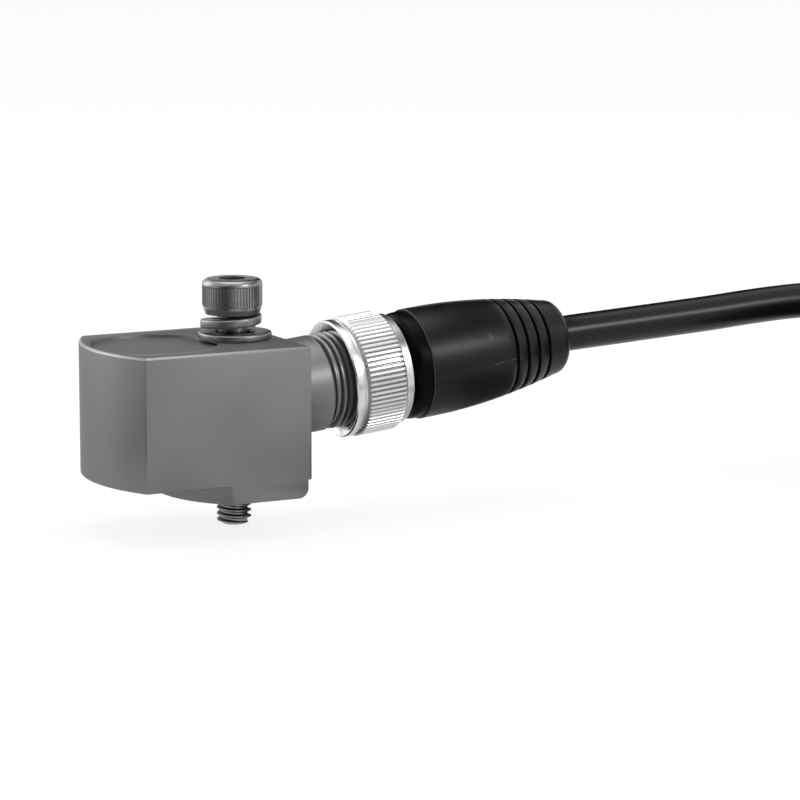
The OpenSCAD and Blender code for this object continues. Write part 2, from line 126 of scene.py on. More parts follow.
class PlugSettings(bpy.types.PropertyGroup):
    """Sizes and colours of the coupling nut and the moulded grip"""
    nut: length_property("Nut", "Diameter over the nut's knurl", 14.2)
    teeth: IntProperty(name="Teeth", description="Teeth round the nut", min=24, default=76)
    grip: length_property("Grip", "Largest diameter of the grip", 13.2)
    tail: length_property("Tail", "Diameter of the grip's tail", 9.1)
    grooves: IntProperty(name="Grooves", description="Flex grooves round the tail", min=1, default=4)
    nut_colour: colour_property("Nickel", "Plating of the nut", "#dadad9")
    grip_colour: colour_property("Grip", "Moulded compound of the grip", "#0a0a0a")


class CableSettings(bpy.types.PropertyGroup):
    """Size and colour of the cable"""
    diameter: length_property("Diameter", "Outside of the jacket", 4.4)
    colour: colour_property("Jacket", "Extruded jacket", "#0d0d0d")


class StageSettings(bpy.types.PropertyGroup):
    """Camera, floor and light"""
    lens: FloatProperty(
        name="Lens", description="Focal length in millimetres", subtype="DISTANCE_CAMERA", default=157.5)
    yaw: FloatProperty(
        name="Yaw", description="Turn of the view from +Y", subtype="ANGLE", default=math.radians(26.85))
    pitch: FloatProperty(
        name="Pitch", description="Downward tilt of the view", subtype="ANGLE", default=math.radians(9.59))
    eye: FloatVectorProperty(
        name="Eye", description="Place of the camera", subtype="TRANSLATION", size=3,
        default=(-0.16321, -0.36519, 0.07776))
    floor_colour: colour_property("Floor", "Pale floor", "#fafafa")


class SensorSettings(bpy.types.PropertyGroup):
    """All settings of the vibration sensor"""
    housing: PointerProperty(type=HousingSettings)
    screw: PointerProperty(type=ScrewSettings)
    plug: PointerProperty(type=PlugSettings)
    cable: PointerProperty(type=CableSettings)
    stage: PointerProperty(type=StageSettings)


def settings():
    return bpy.context.scene.vibration_sensor


# Nodes

def add(tree, kind, inputs=None, **values):
    """One node with its settings; an input given as a socket is linked, any other is set."""
    node = tree.nodes.new(kind)
    for key, value in values.items():
        setattr(node, key, value)
    for key, value in (inputs or {}).items():
        if isinstance(value, bpy.types.NodeSocket):
            tree.links.new(value, node.inputs[key])
        else:
            node.inputs[key].default_value = value
    return node


def calculate(tree, operation, *terms, **values):
    """A math node on one or two terms, as the socket of its result."""
    return add(tree, "ShaderNodeMath", dict(enumerate(terms)), operation=operation, **values).outputs["Value"]


def xyz(tree, **parts):
    """A vector from its X, Y and Z, as a socket."""
    return add(tree, "ShaderNodeCombineXYZ", parts).outputs["Vector"]


def length_of(tree, vector):
    return add(tree, "ShaderNodeVectorMath", {0: vector}, operation="LENGTH").outputs["Value"]


def noise(tree, coords, size_mm, detail):
    """A soft noise with lumps of about a size in millimetres, as the socket of its value."""
    return add(tree, "ShaderNodeTexNoise",
               {"Vector": coords, "Scale": 1 / (size_mm * MM), "Detail": detail}).outputs["Fac"]


# Materials

# Anodising dulls the mirror-like shine of metal that is seen at a flat angle.
ANODISED_TINT = (0.35, 0.35, 0.35, 1)


def start_material(name, **shader_values):
    """A material with its tree, its shader and the object's own coordinates."""
    material = bpy.data.materials.new(name)
    material.use_nodes = True
    tree = material.node_tree
    shader = tree.nodes["Principled BSDF"]
    for key, value in shader_values.items():
        shader.inputs[key.replace("_", " ")].default_value = value
    coords = add(tree, "ShaderNodeTexCoord").outputs["Object"]
    return material, tree, shader, coords


def vary(tree, shader, pattern, low, high, colour, spread):
    """Lets a pattern move the roughness between two limits, and darken the colour by up to a share."""
    rough = add(tree, "ShaderNodeMapRange", {"Value": pattern, "To Min": low, "To Max": high})
    tree.links.new(rough.outputs["Result"], shader.inputs["Roughness"])
    full = list(colour[:3]) + [1.0]
    dark = [c * (1 - spread) for c in colour[:3]] + [1.0]
    mix = add(tree, "ShaderNodeMix", {0: pattern, 6: dark, 7: full}, data_type="RGBA")
    tree.links.new(mix.outputs[2], shader.inputs["Base Color"])


def emboss(tree, shader, height, distance_mm, strength):
    """Bump from a height pattern, of a depth in millimetres."""
    bump = add(tree, "ShaderNodeBump", {"Height": height, "Distance": distance_mm * MM, "Strength": strength})
    tree.links.new(bump.outputs["Normal"], shader.inputs["Normal"])


def blasted_anodised_aluminium(colour):
    """Bead blasting leaves dents of about 0.2 mm, so the grey is matt and even, with a fine tooth."""
    material, tree, shader, coords = start_material(
        "blasted_anodised_aluminium", Metallic=0.62, Specular_Tint=ANODISED_TINT)
    dents = noise(tree, coords, 0.18, 2.0)
    cloud = noise(tree, coords, 6, 3.0)
    vary(tree, shader, cloud, 0.38, 0.46, colour, 0.1)
    emboss(tree, shader, dents, 0.004, 0.5)
    return material


def cut_aluminium(colour):
    """The chamfer is cut after blasting, so it is smoother and brighter than the faces beside it."""
    material, tree, shader, coords = start_material("cut_aluminium_edge", Metallic=0.7)
    vary(tree, shader, noise(tree, coords, 0.5, 2.0), 0.3, 0.42, colour, 0.2)
    return material


def groove_shaded_metal(name, colour, place, root, crest, shade_share, low, high, metallic):
    """Cut ridges round an axis, with painted shade: the colour darkens from the crests down into the grooves,
    where shade falls.
    """
    material, tree, shader, coords = start_material(name, Metallic=metallic)
    back = place.inverted()
    local = add(tree, "ShaderNodeMapping",
                {"Vector": coords, "Location": back.to_translation(), "Rotation": back.to_euler()})
    across = add(tree, "ShaderNodeVectorMath",
                 {0: local.outputs["Vector"], 1: (1, 1, 0)}, operation="MULTIPLY")
    height = add(tree, "ShaderNodeMapRange",
                 {"Value": length_of(tree, across.outputs["Vector"]), "From Min": root, "From Max": crest},
                 interpolation_type="SMOOTHERSTEP")
    # Painted shade: the grooves get the darker colour, the crests the full one.
    vary(tree, shader, height.outputs["Result"], high, low, colour, 1 - shade_share)
    return material


def milled_aluminium(colour):
    """The foot's round wall keeps the mill's feed marks: fine level lines about 0.25 mm apart."""
    material, tree, shader, coords = start_material(
        "milled_aluminium", Metallic=0.5, Specular_Tint=ANODISED_TINT)
    feed_mm = 0.25
    feed = add(tree, "ShaderNodeTexWave",
               {"Vector": coords, "Scale": math.pi / (20 * feed_mm * MM), "Distortion": 0.6, "Detail": 1.0},
               wave_type="BANDS", bands_direction="Z").outputs["Fac"]
    vary(tree, shader, feed, 0.4, 0.52, colour, 0.14)
    emboss(tree, shader, feed, 0.01, 0.4)
    return material


def turned_steel(name, colour, low, high):
    """Stainless steel turned on a lathe: fine rings about 0.1 mm apart give long soft highlights."""
    material, tree, shader, coords = start_material(name, Metallic=1.0)
    stretch = add(tree, "ShaderNodeMapping", {"Vector": coords, "Scale": (0.05, 0.05, 1.0)})
    rings = noise(tree, stretch.outputs["Vector"], 0.12, 3.0)
    stain = noise(tree, coords, 1.5, 4.0)
    both = calculate(tree, "MULTIPLY", rings, stain)
    twice = calculate(tree, "MULTIPLY", both, 2.0, use_clamp=True)
    vary(tree, shader, twice, low, high, colour, 0.3)
    emboss(tree, shader, rings, 0.003, 0.4)
    return material


def nickel_plate(name, colour, low, high):
    """Bright plating on turned metal: it mirrors the lamps, and its haze softens them a little."""
    material, tree, shader, coords = start_material(name, Metallic=1.0)
    vary(tree, shader, noise(tree, coords, 0.8, 5.0), low, high, colour, 0.12)
    emboss(tree, shader, noise(tree, coords, 0.1, 1.0), 0.002, 0.3)
    return material


def moulded_compound(name, colour, low, high, tooth_mm=0.12, depth_mm=0.004, **shader_values):
    """Moulded or extruded plastic: an even satin skin with the tool's fine tooth and faint flow marks."""
    material, tree, shader, coords = start_material(name, **shader_values)
    vary(tree, shader, noise(tree, coords, 4, 4.0), low, high, colour, 0.2)
    emboss(tree, shader, noise(tree, coords, tooth_mm, 2.0), depth_mm, 0.5)
    return material


def rub(material, place, marks, pale):
    """Handling leaves paler marks: each is a soft streak between two points, broken up by a fine grain."""
    tree = material.node_tree
    colour_in = tree.nodes["Principled BSDF"].inputs["Base Color"]
    skin = colour_in.links[0].from_socket
    coords = add(tree, "ShaderNodeTexCoord").outputs["Object"]
    grain = noise(tree, coords, 0.2, 2.0)
    for first, last, half_width in marks:
        a = place @ (Vector(first) * MM)
        b = place @ (Vector(last) * MM)
        along = b - a
        width = half_width * MM
        streak = add(tree, "ShaderNodeMapping",
                     {"Vector": coords, "Location": (a + b) / 2,
                      "Rotation": along.to_track_quat("Z", "Y").to_euler(),
                      "Scale": (width, width, along.length / 2 + width)}, vector_type="TEXTURE")
        far = length_of(tree, streak.outputs["Vector"])
        near = add(tree, "ShaderNodeMapRange", {"Value": far, "From Min": 1.0, "From Max": 0.3})
        share = calculate(tree, "MULTIPLY", near.outputs["Result"], grain)
        skin = add(tree, "ShaderNodeMix", {0: share, 6: skin, 7: pale}, data_type="RGBA").outputs[2]
    tree.links.new(skin, colour_in)


def solder_mask():
    """Circuit board: green lacquer over copper, with tracks that show as slightly paler lines."""
    material, tree, shader, coords = start_material("solder_mask_board", Roughness=0.4)
    track_mm = 4
    tracks = add(tree, "ShaderNodeTexBrick",
                 {"Vector": coords, "Scale": 1 / (track_mm * MM), "Mortar Size": 0.08,
                  "Color1": linear("#0f4a23"), "Color2": linear("#10502a"), "Mortar": linear("#2a7a45")})
    tree.links.new(tracks.outputs["Color"], shader.inputs["Base Color"])
    return material


# Meshes

def arc(centre, radius, start, end, steps):
    """Points on an arc, with its angles in degrees and both ends included."""
    angles = [math.radians(start + (end - start) * i / steps) for i in range(steps + 1)]
    return [(centre[0] + radius * math.cos(a), centre[1] + radius * math.sin(a)) for a in angles]


def soften(points, radius, steps=3, closed=False):
    """The same outline with its corners rounded, by at most a third of the shorter side at each."""
    rounded = []
    count = len(points)
    for i, point in enumerate(points):
        corner = Vector(point)
        if not closed and i in (0, count - 1):
            rounded.append(tuple(corner))
            continue
        before = Vector(points[i - 1]) - corner
        after = Vector(points[(i + 1) % count]) - corner
        reach = min(radius, before.length / 3, after.length / 3)
        first = corner + before.normalized() * reach
        last = corner + after.normalized() * reach
        for k in range(steps + 1):
            t = k / steps
            rounded.append(tuple((1 - t) ** 2 * first + 2 * t * (1 - t) * corner + t * t * last))
    return rounded


def shade(mesh, sharp_angle):
    """Smooth shading, with edges past an angle in degrees left sharp."""
    mesh.polygons.foreach_set("use_smooth", [True] * len(mesh.polygons))
    mesh.set_sharp_from_angle(angle=math.radians(sharp_angle))


def place_mesh(name, mesh):
    """A new object at the origin for a mesh."""
    piece = bpy.data.objects.new(name, mesh)
    bpy.context.collection.objects.link(piece)
    return piece


def mesh_object(name, bm, sharp_angle=35):
    """A shaded object at the origin from a bmesh."""
    mesh = bpy.data.meshes.new(name)
    bm.to_mesh(mesh)
    bm.free()
    shade(mesh, sharp_angle)
    return place_mesh(name, mesh)


def bridge(bm, rings, row_closed=False):
    """Faces between neighbouring closed rings of vertices; a ring of one vertex is a pole."""
    following = rings[1:] + rings[:1] if row_closed else rings[1:]
    for a, b in zip(rings, following):
        count = max(len(a), len(b))
        for k in range(count):
            m = (k + 1) % count
            corners = [a[k % len(a)], a[m % len(a)], b[m % len(b)], b[k % len(b)]]
            unique = list(dict.fromkeys(corners))
            if len(unique) > 2:
                bm.faces.new(unique)


def revolve(name, profile, place=Matrix(), segments=128, sharp_angle=35):
    """A turned piece from (radius, height) pairs in millimetres, which off the axis close into a ring."""
    bm = bmesh.new()
    turns = [2 * math.pi * k / segments for k in range(segments)]
    rings = []
    for r, h in profile:
        if r < 1e-6:
            rings.append([bm.verts.new((0, 0, h * MM))])
        else:
            rings.append([bm.verts.new((r * MM * math.cos(a), r * MM * math.sin(a), h * MM)) for a in turns])
    is_ring = len(rings[0]) > 1 and len(rings[-1]) > 1
    bridge(bm, rings, is_ring)
    bmesh.ops.recalc_face_normals(bm, faces=bm.faces)
    bm.transform(place)
    return mesh_object(name, bm, sharp_angle)


def stack(name, levels):
    """A block from like outlines, each given with its height in metres, and flat faces at both ends."""
    bm = bmesh.new()
    rings = [[bm.verts.new((x, y, z)) for x, y in outline] for outline, z in levels]
    bridge(bm, rings)
    bm.faces.new(list(reversed(rings[0])))
    bm.faces.new(rings[-1])
    bmesh.ops.recalc_face_normals(bm, faces=bm.faces)
    return mesh_object(name, bm, 25)


def made_mesh(piece):
    """A new mesh of what an object's curve or modifiers make."""
    evaluated = piece.evaluated_get(bpy.context.evaluated_depsgraph_get())
    return bpy.data.meshes.new_from_object(evaluated)


def settle(piece):
    """Turns what a piece's modifiers make into its own plain mesh."""
    mesh = made_mesh(piece)
    old = piece.data
    piece.modifiers.clear()
    piece.data = mesh
    mesh.name = piece.name
    bpy.data.meshes.remove(old)


def settle_curve(curve):
    """Makes a curve object a plain mesh object of the same name."""
    mesh = made_mesh(curve)
    name = curve.name
    bpy.data.objects.remove(curve)
    shade(mesh, 40)
    mesh.name = name
    return place_mesh(name, mesh)


def unite(piece, operation, *others):
    """Adds other pieces to a piece, or cuts them out of it, by a boolean, then removes them."""
    for other in others:
        modifier = piece.modifiers.new("unite", "BOOLEAN")
        modifier.operation = operation
        modifier.solver = "EXACT"
        modifier.object = other
    settle(piece)
    for other in others:
        bpy.data.objects.remove(other)


def ease_edges(piece, width_mm, angle=30):
    """Breaks every edge past an angle by a small round."""
    modifier = piece.modifiers.new("ease", "BEVEL")
    modifier.width = width_mm * MM
    modifier.segments = 2
    modifier.limit_method = "ANGLE"
    modifier.angle_limit = math.radians(angle)
    modifier.use_clamp_overlap = True
    settle(piece)
    shade(piece.data, 40)
    return piece


def join(name, pieces):
    """One object from several, each keeping its materials."""
    bm = bmesh.new()
    materials = []
    for piece in pieces:
        first = len(bm.faces)
        bm.from_mesh(piece.data)
        bm.faces.ensure_lookup_table()
        for face in bm.faces[first:]:
            face.material_index += len(materials)
        materials += list(piece.data.materials)
    joined = mesh_object(name, bm, 40)
    for material in materials:
        joined.data.materials.append(material)
    for piece in pieces:
        bpy.data.objects.remove(piece)
    return joined


def dress(piece, body, slot, *replaced, material=None):
    """Gives a finished piece its material and its body, and hides the imported nodes that it stands for. The
    slot is not used.
    """
    if material is not None:
        piece.data.materials.clear()
        piece.data.materials.append(material)
    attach(piece, body)
    if replaced:
        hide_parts(*replaced)
    return piece


# Geometry trees for what repeats

def start_tree(name, numbers, counts=()):
    """A geometry tree whose inputs are numbers and counts by name, and a material."""
    tree = bpy.data.node_groups.new(name, "GeometryNodeTree")
    kinds = [(label, "NodeSocketInt") for label in counts]
    kinds += [(label, "NodeSocketFloat") for label in numbers]
    for label, kind in kinds + [("Material", "NodeSocketMaterial")]:
        tree.interface.new_socket(label, in_out="INPUT", socket_type=kind)
    tree.interface.new_socket("Geometry", in_out="OUTPUT", socket_type="NodeSocketGeometry")
    return tree, add(tree, "NodeGroupInput").outputs


def end_tree(tree, geometry, lift, material):
    """Raises what a tree has made along Z, paints it and hands it out."""
    raised = add(tree, "GeometryNodeTransform", {"Geometry": geometry, "Translation": xyz(tree, Z=lift)})
    real = add(tree, "GeometryNodeRealizeInstances", {"Geometry": raised.outputs["Geometry"]})
    painted = add(tree, "GeometryNodeSetMaterial",
                  {"Geometry": real.outputs["Geometry"], "Material": material})
    add(tree, "NodeGroupOutput", {"Geometry": painted.outputs["Geometry"]})
    return tree


def knurl_tree():
    """Straight teeth round an axis: blocks that narrow to a crest, stood in a ring."""
    tree, given = start_tree(
        "straight_knurl", ("Radius", "Height", "Width", "Crest", "Start", "End"), ("Teeth",))
    length = calculate(tree, "SUBTRACT", given["End"], given["Start"])
    ends = calculate(tree, "ADD", given["End"], given["Start"])
    middle = calculate(tree, "MULTIPLY", ends, 0.5)
    block = add(tree, "GeometryNodeMeshCube",
                {"Size": xyz(tree, X=given["Height"], Y=given["Width"], Z=length)})
    position = add(tree, "GeometryNodeInputPosition").outputs["Position"]
    spot = add(tree, "ShaderNodeSeparateXYZ", {"Vector": position}).outputs
    outer = calculate(tree, "GREATER_THAN", spot["X"], 0.0)
    narrow = add(tree, "ShaderNodeMix", {"Factor": outer, "A": 1.0, "B": given["Crest"]}).outputs["Result"]
    slope = calculate(tree, "MULTIPLY", outer, given["Height"])
    pull = calculate(tree, "MULTIPLY", calculate(tree, "SIGN", spot["Z"]), slope)
    shaped = xyz(tree, X=spot["X"], Y=calculate(tree, "MULTIPLY", spot["Y"], narrow),
                 Z=calculate(tree, "SUBTRACT", spot["Z"], pull))
    tooth = add(tree, "GeometryNodeSetPosition", {"Geometry": block.outputs["Mesh"], "Position": shaped})
    circle = add(tree, "GeometryNodeMeshCircle", {"Vertices": given["Teeth"], "Radius": given["Radius"]})
    turn = add(tree, "FunctionNodeAlignRotationToVector", {"Vector": position}, axis="X", pivot_axis="Z")
    ring = add(tree, "GeometryNodeInstanceOnPoints",
               {"Points": circle.outputs["Mesh"], "Instance": tooth.outputs["Geometry"],
                "Rotation": turn.outputs["Rotation"]})
    return end_tree(tree, ring.outputs["Instances"], middle, given["Material"])


def thread_tree():
    """A helical ridge with a flat crest, fading out at both ends."""
    points_per_turn = 48
    root_share, crest_share = 0.47, 0.09      # half-widths of the ridge, of its pitch
    sunk_share = -0.3                         # how far the ridge's foot lies in the core, of its depth
    least = 0.05                              # what is left of the ridge at its very end
    tree, given = start_tree("screw_thread", ("Turns", "Radius", "Pitch", "Depth", "Start", "Fade"))
    helix = add(tree, "GeometryNodeCurveSpiral",
                {"Resolution": points_per_turn, "Rotations": given["Turns"], "Start Radius": given["Radius"],
                 "End Radius": given["Radius"],
                 "Height": calculate(tree, "MULTIPLY", given["Turns"], given["Pitch"]), "Reverse": False})
    along = add(tree, "GeometryNodeSplineParameter").outputs["Factor"]
    nearest = calculate(tree, "MINIMUM", along, calculate(tree, "SUBTRACT", 1.0, along))
    fade = add(tree, "ShaderNodeMapRange", {"Value": nearest, "From Max": given["Fade"], "To Min": least})
    upright = add(tree, "GeometryNodeSetCurveNormal", {"Curve": helix.outputs["Curve"]}, mode="Z_UP")
    root = calculate(tree, "MULTIPLY", given["Pitch"], root_share)
    crest = calculate(tree, "MULTIPLY", given["Pitch"], crest_share)
    corners = {}
    ridge_points = ((sunk_share, root, 1), (1, crest, 1), (1, crest, -1), (sunk_share, root, -1))
    for i, (depth_share, width, side) in enumerate(ridge_points, 1):
        corners[f"Point {i}"] = xyz(tree, X=calculate(tree, "MULTIPLY", given["Depth"], -depth_share),
                                    Y=calculate(tree, "MULTIPLY", width, side))
    section = add(tree, "GeometryNodeCurvePrimitiveQuadrilateral", corners, mode="POINTS")
    ridge = add(tree, "GeometryNodeCurveToMesh",
                {"Curve": upright.outputs["Curve"], "Profile Curve": section.outputs["Curve"],
                 "Scale": fade.outputs["Result"], "Fill Caps": True})
    return end_tree(tree, ridge.outputs["Mesh"], given["Start"], given["Material"])


def grow(name, tree, values, place=Matrix()):
    """Runs a geometry tree and keeps its result as a plain mesh at its place."""
    piece = place_mesh(name, bpy.data.meshes.new(name))
    modifier = piece.modifiers.new("grow", "NODES")
    modifier.node_group = tree
    for item in tree.interface.items_tree:
        if item.item_type == "SOCKET" and item.in_out == "INPUT":
            modifier[item.identifier] = values[item.name]
    settle(piece)
    bm = bmesh.new()
    bm.from_mesh(piece.data)
    bmesh.ops.recalc_face_normals(bm, faces=bm.faces)
    bm.transform(place)
    bm.to_mesh(piece.data)
    bm.free()
    shade(piece.data, 20)
    return piece


# Stage

SENSOR_WIDTH = 36        # of the camera, in millimetres
FILL_STRENGTH = 0.8      # of the white surroundings, for soft light
FLOOR_WHITE = 0.85       # share of plain white in the floor, which leaves it a soft shadow
FLOOR_HALF = 3.0         # half the floor's side, in metres
FLOOR_GAP = 0.2 * MM     # the floor lies just below the part
MAT_GAP = 0.1 * MM       # and the mats lie between the two

# Soft boxes: name, place, width and height, in metres, and watts. All face one point.
AIM = (0.02, 0, 0.01)
LAMPS = (
    ("key_box", (0.29, -0.46, 0.29), (0.16, 0.14), 0.9),
    ("left_box", (-0.27, 0.36, 0.2), (0.36, 0.36), 1.0),
    ("top_box", (0.04, 0.05, 0.6), (0.45, 0.45), 1.4),
)

# Cards that the part mirrors: name, place, the point it faces, width and height, in metres, and felt.
FELTS = {"black": "#1c1c1c", "dark": "#6a6a6a", "grey": "#d2d2d2"}
FLAGS = (
    ("back_flag", (0.3, 0.5, 0.36), AIM, (0.34, 0.48), "black"),
    ("plug_flag", (0.03, 0.034, 0.023), (0.03, 0, 0.023), (0.019, 0.054), "black"),
    ("grip_flag", (0.051, 0.005, 0.06), (0.051, 0.005, 0), (0.024, 0.075), "black"),
    ("left_flag", (-0.36, -0.25, 0.06), AIM, (0.34, 0.3), "black"),
    ("camera_flag", (-0.29, -0.6, 0.16), AIM, (0.42, 0.4), "black"),
    ("corner_flag", (0.014, -0.028, 0.0004), (0, -0.028, 0.0004), (0.036, 0.008), "black"),
)
# These two also take soft light away from the front.
DIMMING_FLAGS = ("left_flag", "camera_flag")

# Cards that lie on the floor and put painted shade into the part's reflections of the floor near it: name,
# middle, width and depth, in millimetres, and felt.
SHADE_MATS = (
    ("left_mat", (-120, -85), (150, 210), "black"),
    ("stud_mat", (-7, -18), (9, 18), "black"),
    ("front_mat", (52, -95), (50, 60), "black"),
    ("neck_mat", (10, 0), (12, 24), "black"),
    ("nut_mat", (29, 5), (16, 40), "grey"),
    ("grip_mat", (46, -5), (18, 50), "dark"),
)


def facing(place, target):
    """The turn that points a lamp or a card from its place to a target."""
    return (Vector(target) - Vector(place)).to_track_quat("-Z", "Y")


def lamp(name, place, size, power):
    """A soft box of a width and height, in metres and watts."""
    data = bpy.data.lights.new(name, "AREA")
    data.shape = "RECTANGLE"
    data.size, data.size_y = size
    data.energy = power
    light = bpy.data.objects.new(name, data)
    light.location = place
    light.rotation_euler = facing(place, AIM).to_euler()
    bpy.context.collection.objects.link(light)


def felt(name, tone):
    """Felt over a card, which shows in a shiny surface as a soft band of its own grey."""
    return start_material(name, Base_Color=linear(tone), Roughness=1.0, Specular_IOR_Level=0.0)[0]


def card(name, place, target, size, material):
    """A flat card turned to a point, which the part mirrors and the camera does not see."""
    bm = bmesh.new()
    bmesh.ops.create_grid(bm, x_segments=1, y_segments=1, size=0.5)
    turn = facing(place, target).to_matrix().to_4x4()
    bm.transform(Matrix.Translation(place) @ turn @ Matrix.Diagonal((*size, 1, 1)))
    piece = mesh_object(name, bm)
    piece.data.materials.append(material)
    piece.visible_camera = piece.visible_shadow = False
    piece.visible_diffuse = name in DIMMING_FLAGS


def background_share(tree):
    """1 for rays that should see the white background: from the camera, a mirror or glass."""
    path = add(tree, "ShaderNodeLightPath").outputs
    seen = calculate(tree, "MAXIMUM", path["Is Camera Ray"], path["Is Glossy Ray"])
    return calculate(tree, "MAXIMUM", seen, path["Is Transmission Ray"])


class VIBRATION_OT_stage(bpy.types.Operator):
    """Sets the camera, the pale floor, the white background and the soft lamps"""
    bl_idname = "vibration.stage"
    bl_label = "Stage"

    def execute(self, context):
        stage = settings().stage
        scene = context.scene
        scene.view_settings.view_transform = "Standard"
        data = bpy.data.cameras.new("camera")
        data.lens = stage.lens
        data.sensor_width = SENSOR_WIDTH
        data.clip_start = 0.01
        camera = bpy.data.objects.new("camera", data)
        camera.location = stage.eye
        camera.rotation_euler = (math.pi / 2 - stage.pitch, 0, -stage.yaw)
        scene.collection.objects.link(camera)
        scene.camera = camera
        self.make_world(scene)
        self.make_floor(stage)
        self.hang_lamps()
        return {"FINISHED"}

    def make_world(self, scene):
        world = bpy.data.worlds.new("white_studio")
        world.use_nodes = True
        tree = world.node_tree
        tree.nodes.clear()
        fill = add(tree, "ShaderNodeBackground", {"Color": (1, 1, 1, 1), "Strength": FILL_STRENGTH})
        seen = add(tree, "ShaderNodeBackground", {"Color": (1, 1, 1, 1), "Strength": 1.0})
        mix = add(tree, "ShaderNodeMixShader",
                  {0: background_share(tree), 1: fill.outputs[0], 2: seen.outputs[0]})
        add(tree, "ShaderNodeOutputWorld", {"Surface": mix.outputs[0]})
        scene.world = world

    def make_floor(self, stage):
        bm = bmesh.new()
        bmesh.ops.create_grid(bm, x_segments=1, y_segments=1, size=FLOOR_HALF)
        bmesh.ops.translate(bm, verts=bm.verts, vec=(0, 0, FLOOR_Z - FLOOR_GAP))
        floor = mesh_object("floor", bm)
        material, tree, shader = start_material(
            "pale_floor", Base_Color=stage.floor_colour, Roughness=0.9, Specular_IOR_Level=0.1)[:3]
        white = add(tree, "ShaderNodeEmission", {"Color": (1, 1, 1, 1), "Strength": 1.0})
        share = calculate(tree, "MULTIPLY", background_share(tree), FLOOR_WHITE)
        mix = add(tree, "ShaderNodeMixShader", {0: share, 1: shader.outputs[0], 2: white.outputs[0]})
        tree.links.new(mix.outputs[0], tree.nodes["Material Output"].inputs["Surface"])
        floor.data.materials.append(material)

    def hang_lamps(self):
        for row in LAMPS:
            lamp(*row)
        felts = {name: felt(f"{name}_felt", tone) for name, tone in FELTS.items()}
        for name, place, target, size, tone in FLAGS:
            card(name, place, target, size, felts[tone])
        # The mats are painted shade: the part mirrors them in place of the floor near it, and nothing else
        # sees them.
        for name, middle, size, tone in SHADE_MATS:
            place = Vector((middle[0] * MM, middle[1] * MM, FLOOR_Z - MAT_GAP))
            card(name, place, place + Vector((0, 0, 1)), [side * MM for side in size], felts[tone])


# Cable

# Route out of the grip, in millimetres, as in the part's source. It starts at the grip's end.
GRIP_LENGTH = 37.5
GRIP_END = AXIS_START / MM + GRIP_LENGTH * AXIS_DIR
LEAD_STUB = 2
LEAD_ROUTE = [
    (50.5, 0, 15.45), (57.5, 0, 15.85), (64.5, 0, 16.25), (70, 0, 16.65), (76, 0, 16.95), (83, 0, 17)]
LEAD_LAST_X = 90
LEAD_LAST_RISE = 0.1
TAIL_ROUTE = [(127, -29, 0.9), (122, -27.6, 0.5), (117, -25.6, 0.1), (113, -24.6, 0), (110, -24.4, 0)]

# The hank: where its runs start, its outer fold's radius, its runs' length and its layers.
HANK_X = 96
HANK_FOLD = 17
HANK_STRAIGHT = 54
HANK_LAYERS = 5
HANK_BOTTOM = FLOOR_Z / MM + 1.1
HANK_STEPS = 96          # points in one turn
STEP_START = 0.885       # share of the first turn at which the cable moves to its next slot
STEP_BACK = 0.09         # each turn moves over that much earlier
STEP_SPAN = 0.1
LAST_SHARE = 0.585       # share of the last turn at which the tail leaves the hank

# The tie round the hank's front run.
TIE_X = 144
TIE_SLACK = 0.15
TIE_THICKNESS = 0.9
TIE_HALF_WIDTH = 1.8
TIE_HEAD = (2.4, 2.7, 3.1)      # half its width and depth, and its height
TIE_HEAD_LIFT = 0.8

# The bare end: four cores that fan out from the jacket, each with a sleeve.
CORE_COLOURS = {
    "core_brown": "#5a3418", "core_white": "#e4e2dc", "core_blue": "#1f4aa0", "core_black": "#171718"}
CORE_RADIUS = 0.65
CORE_OFFSET = 0.95
CORE_FIRST_Y = -23.4
CORE_SPREAD = 2.5
CORE_END_X = 98
CORE_FAN = (0, 0.2, 0.5, 0.8, 1)
UPPER_DROP = (0, 0, 0.5, 1, 1)
LOWER_DROP = (0, 0.5, 1, 1, 1)
SLEEVE_PROFILE = [(0, -1), (0.62, -1), (0.62, 0.2), (0.45, 0.6), (0.45, 6), (0, 6)]


def hank_slot(turn, diameter):
    """Fold radius and height of one turn: turns fill each layer, outer and inner, from the top down."""
    layer, side = divmod(turn, 2)
    inner = side if layer % 2 == 0 else 1 - side
    height = HANK_BOTTOM + diameter * (HANK_LAYERS - 0.5 - layer)
    return HANK_FOLD - inner * diameter, height


def hank_point(share, fold, bend):
    """Point at a share of one turn: the back run, the far fold, the front run and the near fold."""
    way = share * 2 * (HANK_STRAIGHT + bend)
    if way < HANK_STRAIGHT:
        return HANK_X + way, -HANK_FOLD + fold
    way -= HANK_STRAIGHT
    if way < bend:
        a = math.pi / 2 - way / bend * math.pi
        return HANK_X + HANK_STRAIGHT + fold * math.cos(a), -HANK_FOLD + fold * math.sin(a)
    way -= bend
    if way < HANK_STRAIGHT:
        return HANK_X + HANK_STRAIGHT - way, -HANK_FOLD - fold
    a = -math.pi / 2 - (way - HANK_STRAIGHT) / bend * math.pi
    return HANK_X + fold * math.cos(a), -HANK_FOLD + fold * math.sin(a)


def hank_route(diameter):
    """The turns of the hank; each turn steps to the next slot a little earlier than the one before it."""
    turns = 2 * HANK_LAYERS
    bend = math.pi * (HANK_FOLD - diameter / 2)
    points = []
    for turn in range(turns):
        here = Vector(hank_slot(turn, diameter))
        following = Vector(hank_slot(min(turn + 1, turns - 1), diameter))
        for i in range(HANK_STEPS):
            share = i / HANK_STEPS
            if turn == turns - 1 and share > LAST_SHARE:
                break
            moved = min(max((share - STEP_START + STEP_BACK * turn) / STEP_SPAN, 0), 1)
            fold, height = here.lerp(following, 0.5 - 0.5 * math.cos(math.pi * moved))
            points.append((*hank_point(share, fold, bend), height))
    return points


